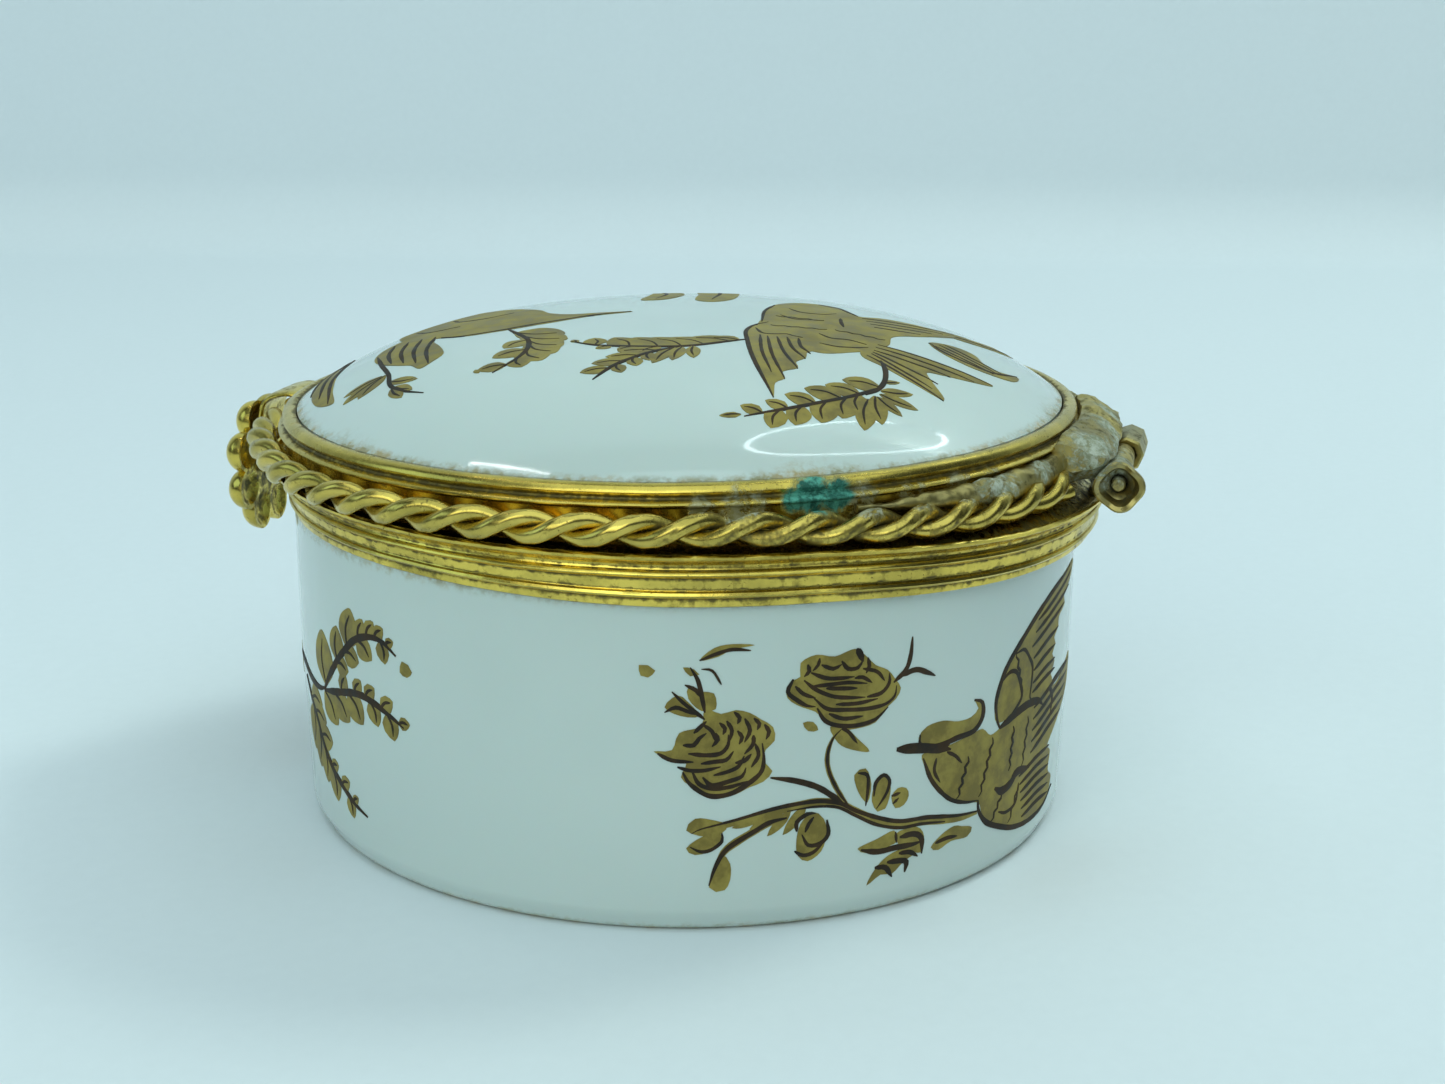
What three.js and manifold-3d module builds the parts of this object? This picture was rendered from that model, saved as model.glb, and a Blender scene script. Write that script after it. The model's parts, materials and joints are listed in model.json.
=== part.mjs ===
// Round porcelain trinket box with gilt brass mounts: a bowl, a domed lid on a three-knuckle hinge,
// a twisted wire border round the lid and a rosette clasp. Millimetres. +Z is up, the origin is the
// centre of the underside, the clasp faces -Y and the hinge is on the +Y side, with its axis along X.
import * as THREE from 'three';
import { mergeVertices } from 'three/addons/utils/BufferGeometryUtils.js';
import Module from 'manifold-3d';

const wasm = await Module();
wasm.setup();

// Driving dimensions
const TURNED_SIDES = 48; // sides of every large turned ring, so that nested rings share their facets
const ARC_STEPS = 5; // points on each rounded stretch of a turned outline
const GAP = 0.1; // clearance between neighbouring pieces

const WALL_R = 25; // porcelain bowl: outer radius under the bezel
const LOW_WALL_R = 24.5; // the wall tapers a little towards the foot
const FOOT_R = 23.7; // radius of the flat that the box stands on
const FOOT_H = 1.1;
const BOWL_R = 22.3; // inner radius
const BOWL_FLOOR = 2.6;
const RIM_Z = 21.5; // top of the porcelain bowl, hidden in the bezel

const BEZEL_LOW = 19.6; // base bezel: lower edge of the reeded skirt
const BEZEL_TOP = 22.6; // top of the flared lip
const LEDGE_TOP = 22.3; // flat ring that the lid closes on
const LEDGE_H = 0.5;
const COLLAR = { inner: 21.7, outer: 22.1, low: 20.6, top: 24.6 };

const LID_TILT = THREE.MathUtils.degToRad(0.8); // the worn hinge leaves the clasp side lower
const LID_SHIFT = 0.4; // and the lid a little forward
const LID_LOW = 23.2; // lid bezel: underside
const LID_R = 24.2; // porcelain lid: outer radius
const LID_INNER_R = 22.8;
const LID_EDGE = 24.25; // lower edge of the porcelain lid
const BORDER_Z = 26.47; // where glaze meets brass
const DOME_H = 5;
const DOME_POWER = 3.5; // above 2 gives a flatter top and a steeper shoulder
const DOME_WALL = 2.3;
const BAND_R = 25.05; // plain band of the lid bezel, behind the wire border

const WIRE = { ringR: 26.1, z: 24.45, offset: 0.52, radius: 0.42, pitch: 6.4, sides: 6, stepsPerTurn: 6 };
const WIRE_GAP = THREE.MathUtils.degToRad(16); // half angle left free for the hinge

const HINGE = { y: 27.8, z: 23.2, bore: 0.65, pin: 0.55, sides: 24 };
const KNUCKLE_R = 1.15; // outer knuckles, on the lid
const KNUCKLE_FLARE_R = 1.3; // rough cut end of the near knuckle
const MIDDLE_R = 1.0; // middle knuckle, on the base
const MIDDLE_HALF = 2;
const NEAR_END = 6.7;
const FAR_END = 6.4;
const PIN_ENDS = [-6.2, 6.4];

const ROSETTE = { petals: 8, ringR: 3.45, petalR: 1.38, z: 21, y: -28.6, sheet: 0.45 };
const BRACKET = { width: 5, sheet: 0.5, inner: 25.35, outer: 28.4, top: 26.25, low: 22.6 };
const CATCH = { z: 20.8, stemR: 0.6, headR: 0.95, start: 25.75, headAt: 27.6 };

// Materials
const metal = (name, color, roughness) =>
  new THREE.MeshStandardMaterial({ name, color, roughness, metalness: 1 });
const porcelain = new THREE.MeshStandardMaterial({ name: 'porcelain', color: 0xdfe9ea, roughness: 0.12 });
const cement = new THREE.MeshStandardMaterial({ name: 'cement', color: 0xd8d2c2, roughness: 0.95 });
const brass = metal('brass', 0xb08d2a, 0.3);
const dullBrass = metal('dull_brass', 0x7d6a35, 0.5);

const piece = (name, geometry, material) => {
  const mesh = new THREE.Mesh(geometry, material);
  mesh.name = name;
  return mesh;
};

// Turns a closed outline of [radius, height] points about +Z.
function turned(outline, sides = TURNED_SIDES) {
  const points = outline.map(([r, z]) => new THREE.Vector2(r, z));
  return new THREE.LatheGeometry(points, sides).rotateX(Math.PI / 2);
}

// Extrudes an outline of [y, z] points across X, centred on x = 0.
function across(outline, width) {
  const shape = new THREE.Shape(outline.map(([y, z]) => new THREE.Vector2(y, z)));
  const bar = new THREE.ExtrudeGeometry(shape, { depth: width, bevelEnabled: false });
  const xyz = [new THREE.Vector3(0, 1, 0), new THREE.Vector3(0, 0, 1), new THREE.Vector3(1, 0, 0)];
  return bar.applyMatrix4(new THREE.Matrix4().makeBasis(...xyz)).translate(-width / 2, 0, 0);
}

// A quarter ellipse between two outline points, bulging towards the corner.
function rounded([r0, z0], [r1, z1], [cornerR, cornerZ]) {
  const curve = new THREE.QuadraticBezierCurve(
    new THREE.Vector2(r0, z0), new THREE.Vector2(cornerR, cornerZ), new THREE.Vector2(r1, z1));
  return curve.getPoints(ARC_STEPS).map(({ x, y }) => [x, y]);
}

function solid(geometry) {
  const bare = geometry.clone();
  bare.deleteAttribute('normal');
  bare.deleteAttribute('uv');
  const merged = mergeVertices(bare);
  return new wasm.Manifold(new wasm.Mesh({
    numProp: 3,
    vertProperties: Float32Array.from(merged.attributes.position.array),
    triVerts: Uint32Array.from(merged.index.array),
  }));
}

function joined(...geometries) {
  const mesh = geometries.map(solid).reduce((all, next) => all.add(next)).getMesh();
  const geometry = new THREE.BufferGeometry();
  geometry.setAttribute('position', new THREE.BufferAttribute(mesh.vertProperties, 3));
  geometry.setIndex(new THREE.BufferAttribute(mesh.triVerts, 1));
  geometry.computeVertexNormals();
  return geometry;
}

// Base

function porcelainBase() {
  const rimInner = [BOWL_R, RIM_Z];
  return turned([
    [0, 0], [FOOT_R, 0],
    ...rounded([FOOT_R + 0.1, 0], [LOW_WALL_R, FOOT_H], [LOW_WALL_R - 0.05, 0.1]),
    [WALL_R, BEZEL_LOW - 4], [WALL_R, RIM_Z], rimInner,
    ...rounded([BOWL_R, BOWL_FLOOR + 3], [BOWL_R - 3, BOWL_FLOOR], [BOWL_R, BOWL_FLOOR]),
    [0, BOWL_FLOOR],
  ]);
}

// The reeded face steps outwards from its lower edge up to a flared lip.
function baseBezel() {
  const inner = WALL_R + GAP;
  const reed = [[25.3, BEZEL_LOW], [25.3, 20.25], [25.65, 20.5], [25.6, 21.35], [25.95, 21.7],
    [25.85, 21.9], [26.05, 22.05], [26, 22.25], [26.5, 22.45], [26.5, BEZEL_TOP]];
  const under = LEDGE_TOP - LEDGE_H;
  return turned([
    [inner, BEZEL_LOW], ...reed, [25.9, LEDGE_TOP],
    [COLLAR.outer + GAP, LEDGE_TOP], [COLLAR.outer + GAP, under], [inner, under],
    [inner, BEZEL_LOW],
  ]);
}

// Plaster bed between the rim of the porcelain and the brass ledge.
function baseCement() {
  const [low, top] = [RIM_Z + GAP / 2, LEDGE_TOP - LEDGE_H - GAP / 2];
  return turned([[BOWL_R + 0.2, low], [WALL_R - 0.2, low], [WALL_R - 0.2, top], [BOWL_R + 0.2, top],
    [BOWL_R + 0.2, low]]);
}

function locatingCollar() {
  const { inner, outer, low, top } = COLLAR;
  const tip = [(inner + outer) / 2, top];
  return turned([[inner, low], [outer, low], [outer, top - 0.3], tip, [inner, top - 0.3], [inner, low]]);
}

function claspCatch() {
  const head = CATCH.headAt - CATCH.start;
  const neck = Math.asin(CATCH.stemR / CATCH.headR);
  const ball = Array.from({ length: ARC_STEPS + 1 }, (_, i) => {
    const turn = neck + (Math.PI - neck) * (i / ARC_STEPS);
    return [CATCH.headR * Math.sin(turn), head - CATCH.headR * Math.cos(turn)];
  });
  ball[ARC_STEPS][0] = 0;
  return turned([[0, 0], [CATCH.stemR, 0], ...ball], 14)
    .rotateX(Math.PI / 2)
    .translate(0, -CATCH.start, CATCH.z);
}

// Lid, drawn level and centred on the lid's own axis

function porcelainLid() {
  const dome = (rim, low, height) => Array.from({ length: 9 }, (_, i) => {
    const r = rim * (1 - (i / 8) ** 1.6);
    return [r, low + height * (1 - (r / rim) ** DOME_POWER)];
  });
  const inside = dome(LID_INNER_R - 0.6, BORDER_Z - DOME_WALL + 0.9, DOME_H - 0.9);
  return turned([
    ...inside.reverse(), [LID_INNER_R, LID_EDGE + 0.5], [LID_INNER_R, LID_EDGE], [LID_R, LID_EDGE],
    ...dome(LID_R, BORDER_Z, DOME_H),
  ]);
}

// Rolled bead against the glaze, a groove and a thin ridge, then the plain band behind the wire border.
function lidBezel() {
  const inner = LID_R + GAP;
  const bead = rounded([inner, BORDER_Z - 0.1], [BAND_R, 25.8], [BAND_R, BORDER_Z + 0.05]).reverse();
  const ledge = LID_LOW + LEDGE_H;
  const ledgeInner = LID_INNER_R + 0.2;
  return turned([
    [ledgeInner, LID_LOW], [BAND_R, LID_LOW], [BAND_R, 25.2], [25.4, 25.35], [25.4, 25.5], [24.95, 25.65],
    ...bead, [inner, ledge], [ledgeInner, ledge], [ledgeInner, LID_LOW],
  ]);
}

function lidCement() {
  const [low, top] = [LID_LOW + LEDGE_H + GAP, LID_EDGE - GAP];
  const [inner, outer] = [LID_INNER_R + 0.3, LID_R - 0.1];
  return turned([[inner, low], [outer, low], [outer, top], [inner, top], [inner, low]]);
}

// Centre line of one of the two wires that twist round each other to form the border.
class WireLine extends THREE.Curve {
  constructor(phase) {
    super();
    this.phase = phase;
    this.arcLengthDivisions = 1200;
  }

  getPoint(t) {
    const angle = Math.PI / 2 + WIRE_GAP + t * WireLine.span;
    const turn = this.phase + t * WireLine.turns * 2 * Math.PI;
    const r = WIRE.ringR + WIRE.offset * Math.cos(turn);
    return new THREE.Vector3(r * Math.cos(angle), r * Math.sin(angle), WIRE.z + WIRE.offset * Math.sin(turn));
  }
}
WireLine.span = 2 * (Math.PI - WIRE_GAP);
WireLine.turns = (WireLine.span * WIRE.ringR) / WIRE.pitch;

function wire(phase) {
  const section = Array.from({ length: WIRE.sides }, (_, i) => {
    const turn = (i / WIRE.sides) * 2 * Math.PI;
    return new THREE.Vector2(WIRE.radius * Math.cos(turn), WIRE.radius * Math.sin(turn));
  });
  return new THREE.ExtrudeGeometry(new THREE.Shape(section), {
    extrudePath: new WireLine(phase),
    steps: Math.round(WireLine.turns * WIRE.stepsPerTurn),
    bevelEnabled: false,
  });
}

// Bent strip from the lid bezel over the wire border, down to the back of the rosette.
function claspBracket() {
  const { sheet, inner, outer, top, low, width } = BRACKET;
  return across([[-inner, top], [-inner, top - sheet], [sheet - outer, top - sheet], [sheet - outer, low],
    [-outer, low], [-outer, top - 0.3], [0.3 - outer, top]], width);
}

// Stamped sheet rosette: domed petals round a domed centre, hollow behind.
function claspRosette() {
  const { petals, ringR, petalR, sheet } = ROSETTE;
  const step = (2 * Math.PI) / petals;
  const sectors = petals * 6;
  const rings = 5;
  const centreR = 1.9;
  const edge = (turn) => {
    const off = ((turn / step) % 1) * step - step / 2;
    return ringR * Math.cos(off) + Math.sqrt(petalR ** 2 - (ringR * Math.sin(off)) ** 2);
  };
  const height = (r, turn) => {
    const off = ((turn / step) % 1) * step - step / 2;
    const fromPetal = Math.hypot(r * Math.cos(off) - ringR, r * Math.sin(off)) / (petalR * 1.05);
    const petal = Math.sqrt(Math.max(0, 1 - fromPetal ** 2));
    const centre = Math.sqrt(Math.max(0, 1 - (r / centreR) ** 2));
    return 0.4 + Math.max(petal, 0.8 * centre);
  };
  const front = [[0, 0, height(0, 0)]];
  for (let i = 1; i <= rings; i += 1) {
    for (let j = 0; j < sectors; j += 1) {
      const turn = (j / sectors) * 2 * Math.PI;
      const r = (edge(turn) * i) / rings;
      front.push([r * Math.cos(turn), r * Math.sin(turn), height(r, turn)]);
    }
  }
  const count = front.length;
  const back = front.map(([x, y, z]) => [x, y, z - sheet]);
  const at = (i, j) => (i === 0 ? 0 : 1 + (i - 1) * sectors + (j % sectors));
  const faces = [];
  const add = (a, b, c) => faces.push(a, b, c, c + count, b + count, a + count);
  for (let j = 0; j < sectors; j += 1) {
    add(0, at(1, j), at(1, j + 1));
    for (let i = 1; i < rings; i += 1) {
      add(at(i, j), at(i + 1, j), at(i + 1, j + 1));
      add(at(i, j), at(i + 1, j + 1), at(i, j + 1));
    }
    const [a, b] = [at(rings, j), at(rings, j + 1)];
    faces.push(a, a + count, b + count, a, b + count, b);
  }
  const geometry = new THREE.BufferGeometry();
  geometry.setAttribute('position', new THREE.Float32BufferAttribute([...front, ...back].flat(), 3));
  geometry.setIndex(faces);
  geometry.computeVertexNormals();
  return geometry.rotateX(Math.PI / 2).translate(0, ROSETTE.y, ROSETTE.z);
}

// Hinge, drawn in place with its axis along X

function knuckle(from, to, fromR, toR) {
  const { bore, sides } = HINGE;
  return turned([[bore, from], [fromR, from], [toR, to], [bore, to], [bore, from]], sides)
    .rotateY(Math.PI / 2)
    .translate(0, HINGE.y, HINGE.z);
}

function hingePin() {
  const [from, to] = PIN_ENDS;
  return turned([[0, from], [HINGE.pin, from], [HINGE.pin, to], [0, to]], HINGE.sides)
    .rotateY(Math.PI / 2)
    .translate(0, HINGE.y, HINGE.z);
}

// Plate on the back of the base bezel, with a web up to the middle knuckle.
function hingeLeafBase() {
  const plate = across([[26.15, 20.2], [26.9, 20.3], [28.2, 21.5], [28.2, 21.7], [27.2, 21.7], [26.15, 21.2]], 12);
  const web = across([[26.6, 21.5], [28.1, 21.5], [28.3, 22.1], [27.3, 22.1]], 2 * MIDDLE_HALF - 0.2);
  return joined(plate, web);
}

// Plate on the back of the lid bezel that fills the break in the wire border and covers the knuckles.
function hingeLeafLid() {
  return across([[25.1, 24.1], [26.5, 24.45], [27.6, 24.65], [27.6, 24.95], [26, 25.6], [25.1, 25.7]], 13);
}

// Assembly

const base = new THREE.Group();
base.add(
  piece('porcelain_base', porcelainBase(), porcelain),
  piece('base_bezel', baseBezel(), brass),
  piece('base_cement', baseCement(), cement),
  piece('locating_collar', locatingCollar(), brass),
  piece('clasp_catch', claspCatch(), brass),
  piece('hinge_leaf_base', hingeLeafBase(), dullBrass),
  piece('hinge_knuckle_middle', knuckle(-MIDDLE_HALF, MIDDLE_HALF, MIDDLE_R, MIDDLE_R), dullBrass),
  piece('hinge_pin', hingePin(), dullBrass),
);

const lidRing = new THREE.Group();
lidRing.position.y = -LID_SHIFT;
lidRing.add(
  piece('porcelain_lid', porcelainLid(), porcelain),
  piece('lid_bezel', lidBezel(), brass),
  piece('lid_cement', lidCement(), cement),
  piece('rope_strand_a', wire(0), brass),
  piece('rope_strand_b', wire(Math.PI), brass),
  piece('clasp_bracket', claspBracket(), brass),
  piece('clasp_rosette', claspRosette(), brass),
);

const lidHinge = new THREE.Group();
const knuckleStart = MIDDLE_HALF + GAP;
lidHinge.add(
  piece('hinge_knuckle_near', knuckle(knuckleStart, NEAR_END, KNUCKLE_R, KNUCKLE_FLARE_R), dullBrass),
  piece('hinge_knuckle_far', knuckle(-FAR_END, -knuckleStart, KNUCKLE_R, KNUCKLE_R), dullBrass),
  piece('hinge_leaf_lid', hingeLeafLid(), dullBrass),
);

// The whole lid turns about the hinge axis by its resting tilt.
const lid = new THREE.Group();
const hingeAxis = new THREE.Vector3(0, HINGE.y, HINGE.z);
const lidParts = new THREE.Group();
lidParts.position.copy(hingeAxis).negate();
lidParts.add(lidRing, lidHinge);
lid.position.copy(hingeAxis);
lid.rotation.x = LID_TILT;
lid.add(lidParts);

const trinketBox = new THREE.Group();
trinketBox.add(base, lid);

export default trinketBox;
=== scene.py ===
"""Looks of the round porcelain trinket box: glazed porcelain with painted gilding, worn gilt brass bezels,
a twisted wire border, a corroded hinge and a stamped rosette clasp. Lengths are in millimetres until MM
turns them into metres. +Z is up, the clasp faces -Y, the hinge is at +Y and its axis runs along X."""
import json
import math

import bmesh
import bpy
from mathutils import Matrix, Vector, noise


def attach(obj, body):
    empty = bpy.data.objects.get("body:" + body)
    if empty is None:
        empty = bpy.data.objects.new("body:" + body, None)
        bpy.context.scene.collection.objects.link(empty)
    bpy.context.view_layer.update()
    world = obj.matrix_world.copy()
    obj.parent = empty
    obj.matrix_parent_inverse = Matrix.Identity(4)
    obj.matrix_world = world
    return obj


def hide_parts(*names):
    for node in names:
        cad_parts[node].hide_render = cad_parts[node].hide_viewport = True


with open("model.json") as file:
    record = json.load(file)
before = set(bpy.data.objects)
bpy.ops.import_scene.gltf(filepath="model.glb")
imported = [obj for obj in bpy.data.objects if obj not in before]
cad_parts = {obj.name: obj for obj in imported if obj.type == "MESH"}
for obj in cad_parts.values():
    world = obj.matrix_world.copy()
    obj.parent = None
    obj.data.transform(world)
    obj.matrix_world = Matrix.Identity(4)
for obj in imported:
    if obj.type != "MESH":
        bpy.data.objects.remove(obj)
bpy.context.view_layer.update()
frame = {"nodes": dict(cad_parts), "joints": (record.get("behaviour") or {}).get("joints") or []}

MM = 0.001
TAU = 2 * math.pi

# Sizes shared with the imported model.
BASE_R = 25.0
LOW_BASE_R = 24.5
TAPER_TOP = 15.6
BORDER_Z = 26.47
LID_R = 24.2
DOME_H = 5.0
DOME_POWER = 3.5
LID_TILT = math.radians(0.8)
LID_SHIFT = 0.4
HINGE = Vector(frame["joints"][0]["pos_m"]) / MM

TO_HINGE = Matrix.Translation(HINGE)
LID = TO_HINGE @ Matrix.Rotation(LID_TILT, 4, "X") @ TO_HINGE.inverted()
LID_RING = LID @ Matrix.Translation((0, -LID_SHIFT, 0))
LEVEL = Matrix.Identity(4)


# Small helpers

def wobble(x, y, z, scale=1.0):
    """Smooth noise from -1 to 1 that is the same on every run."""
    return noise.noise(Vector((x, y, z)) * scale)


def clamp(value, low=0.0, high=1.0):
    """The value, kept between low and high."""
    return max(low, min(high, value))


def smoothstep(low, high, value):
    """Rises smoothly from 0 at low to 1 at high; low may be the larger one."""
    t = clamp((value - low) / (high - low))
    return t * t * (3 - 2 * t)


def spline(points, closed=False, step=0.3):
    """A smooth line through the points, with a point about every step."""
    pts = [Vector(p) for p in points]
    n = len(pts)
    out = []
    for i in range(n if closed else n - 1):
        if closed:
            a, b, c, d = (pts[(i + k) % n] for k in (-1, 0, 1, 2))
        else:
            b, c = pts[i], pts[i + 1]
            a = pts[i - 1] if i else 2 * b - c
            d = pts[i + 2] if i + 2 < n else 2 * c - b
        count = max(1, round((c - b).length / step))
        for k in range(count):
            t = k / count
            out.append(0.5 * ((2 * b) + (c - a) * t + (2 * a - 5 * b + 4 * c - d) * t * t
                              + (3 * b - a - 3 * c + d) * t ** 3))
    if not closed:
        out.append(pts[-1])
    return out


def build(name, verts, faces, material, body, place=LEVEL, stands_for=(), marks=None, sharp=35):
    """Makes one mesh piece from millimetres, turned to face outwards, and ties it to its body."""
    volume = 0
    for face in faces:
        a, *rest = (Vector(verts[i]) for i in face)
        volume += sum(a.dot(b.cross(c)) for b, c in zip(rest, rest[1:]))
    if volume < 0:
        faces = [face[::-1] for face in faces]
    mesh = bpy.data.meshes.new(name)
    mesh.from_pydata([(place @ Vector(v)) * MM for v in verts], [], faces)
    mesh.polygons.foreach_set("use_smooth", [True] * len(mesh.polygons))
    mesh.set_sharp_from_angle(angle=math.radians(sharp))
    for label, values in (marks or {}).items():
        layer = mesh.attributes.new(label, "FLOAT", "POINT")
        layer.data.foreach_set("value", values)
    mesh.materials.append(material)
    piece = bpy.data.objects.new(name, mesh)
    bpy.context.scene.collection.objects.link(piece)
    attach(piece, body)
    if stands_for:
        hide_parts(*stands_for)
    return piece


def sweep(rings, closed_sweep=False):
    """Skins a list of equal closed rings of points. The ends are capped unless they meet."""
    n = len(rings[0])
    verts = [v for ring in rings for v in ring]
    faces = []
    spans = len(rings) if closed_sweep else len(rings) - 1
    for i in range(spans):
        a, b = i * n, ((i + 1) % len(rings)) * n
        for j in range(n):
            k = (j + 1) % n
            faces.append((a + j, a + k, b + k, b + j))
    if not closed_sweep:
        faces.append(tuple(reversed(range(n))))
        faces.append(tuple((len(rings) - 1) * n + j for j in range(n)))
    return verts, faces


def turned(outline, sides=320, rough=None):
    """Turns [radius, height, grime] points about +Z. Points on the axis close the form.
    rough(angle, radius, height) moves a point outwards and upwards a little."""
    verts, grime_and_shade, faces, rows = [], [], [], []
    for r, z, dirt in outline:
        row = []
        for j in range(1 if r == 0 else sides):
            turn = TAU * j / sides
            dr, dz = rough(turn, r, z) if rough and r else (0, 0)
            row.append(len(verts))
            verts.append(((r + dr) * math.cos(turn), (r + dr) * math.sin(turn), z + dz))
            grime_and_shade.append(dirt)
        rows.append(row)
    pairs = list(zip(rows, rows[1:]))
    if outline[0][0] and outline[-1][0]:
        pairs.append((rows[-1], rows[0]))
    for low, high in pairs:
        for j in range(sides):
            k = (j + 1) % sides
            if len(low) == 1:
                faces.append((low[0], high[k], high[j]))
            elif len(high) == 1:
                faces.append((low[j], low[k], high[0]))
            else:
                faces.append((low[j], low[k], high[k], high[j]))
    # The grime mark holds real dirt on the porcelain and bezels, and painted shade on the wires and in the
    # hinge bores.
    return verts, faces, {"grime_and_shade": grime_and_shade}


# Materials

class Tree:
    """Short calls for one material's nodes."""

    def __init__(self, name):
        self.material = bpy.data.materials.new(name)
        self.material.use_nodes = True
        self.nodes = self.material.node_tree.nodes
        self.shader = self.nodes["Principled BSDF"]
        self.place = self.add("ShaderNodeTexCoord").outputs["Object"]

    def add(self, kind, **settings):
        """A new node with its settings."""
        node = self.nodes.new(kind)
        for key, value in settings.items():
            setattr(node, key, value)
        return node

    def put(self, socket, value):
        """Links another node's output to a socket, or sets a plain value or colour on it."""
        if isinstance(value, bpy.types.NodeSocket):
            self.material.node_tree.links.new(value, socket)
        elif socket.type == "RGBA":
            socket.default_value = (*value, 1)
        else:
            socket.default_value = value

    def set(self, **values):
        """Puts values on the shader's sockets; an underscore stands for a space."""
        for key, value in values.items():
            self.put(self.shader.inputs[key.replace("_", " ")], value)

    def noise(self, scale, detail=3.0, roughness=0.5, distortion=0.0):
        """Noise over the piece, with about scale features to the metre."""
        node = self.add("ShaderNodeTexNoise")
        self.put(node.inputs["Vector"], self.place)
        for key, value in (("Scale", scale), ("Detail", detail), ("Roughness", roughness),
                           ("Distortion", distortion)):
            node.inputs[key].default_value = value
        return node.outputs["Fac"]

    def math(self, operation, a, b):
        """One arithmetic step on two values or outputs."""
        node = self.add("ShaderNodeMath", operation=operation)
        self.put(node.inputs[0], a)
        self.put(node.inputs[1], b)
        return node.outputs[0]

    def ramp(self, value, low, high, start=0.0, end=1.0):
        """Maps value from low..high to start..end along a smooth curve."""
        node = self.add("ShaderNodeMapRange", interpolation_type="SMOOTHSTEP")
        for key, x in (("Value", value), ("From Min", low), ("From Max", high), ("To Min", start),
                       ("To Max", end)):
            self.put(node.inputs[key], x)
        return node.outputs["Result"]

    def mix(self, share, a, b):
        """Colour a where share is 0, colour b where it is 1."""
        node = self.add("ShaderNodeMix", data_type="RGBA")
        self.put(node.inputs["Factor"], share)
        self.put(node.inputs[6], a)
        self.put(node.inputs[7], b)
        return node.outputs[2]

    def mark(self, label):
        """A value that the mesh carries at each point."""
        return self.add("ShaderNodeAttribute", attribute_name=label).outputs["Fac"]

    def near(self, spots):
        """1 at the middle of any of the (x, y, z, radius) spots in millimetres, 0 outside them."""
        total = None
        for x, y, z, radius in spots:
            gap = self.add("ShaderNodeVectorMath", operation="DISTANCE")
            self.put(gap.inputs[0], self.place)
            self.put(gap.inputs[1], (x * MM, y * MM, z * MM))
            share = self.ramp(gap.outputs["Value"], radius * MM, 0.25 * radius * MM)
            total = share if total is None else self.math("MAXIMUM", total, share)
        return total

    def bump(self, height, distance, strength):
        """Bumps on the shader; distance is in millimetres."""
        node = self.add("ShaderNodeBump")
        self.put(node.inputs["Height"], height)
        node.inputs["Distance"].default_value = distance * MM
        node.inputs["Strength"].default_value = strength
        self.put(self.shader.inputs["Normal"], node.outputs["Normal"])


def porcelain_material(name):
    """White glaze, a little uneven, with brown residue where the mark 'grime' says."""
    tree = Tree(name)
    tint = tree.mix(tree.ramp(tree.noise(60, 2), 0.35, 0.65), (0.60, 0.68, 0.64), (0.63, 0.71, 0.67))
    blots = tree.math("MULTIPLY", tree.noise(900, 5, 0.65), tree.noise(2600, 3, 0.6))
    dirt = tree.math("MULTIPLY", tree.mark("grime_and_shade"), tree.ramp(blots, 0.12, 0.40, 0.35, 1.3))
    dirt = tree.ramp(dirt, 0.08, 1.0)
    soil = tree.mix(tree.ramp(tree.noise(420, 4), 0.35, 0.65), (0.30, 0.29, 0.17), (0.42, 0.34, 0.17))
    tree.set(Base_Color=tree.mix(dirt, tint, soil), Roughness=tree.ramp(dirt, 0.0, 1.0, 0.07, 0.55))
    tree.set(IOR=1.5, Coat_Weight=0.25, Coat_Roughness=0.03, Subsurface_Weight=0.08, Subsurface_Scale=0.002)
    tree.bump(tree.math("ADD", tree.noise(130, 2), tree.math("MULTIPLY", dirt, 0.6)), 0.05, 0.25)
    return tree.material


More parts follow.
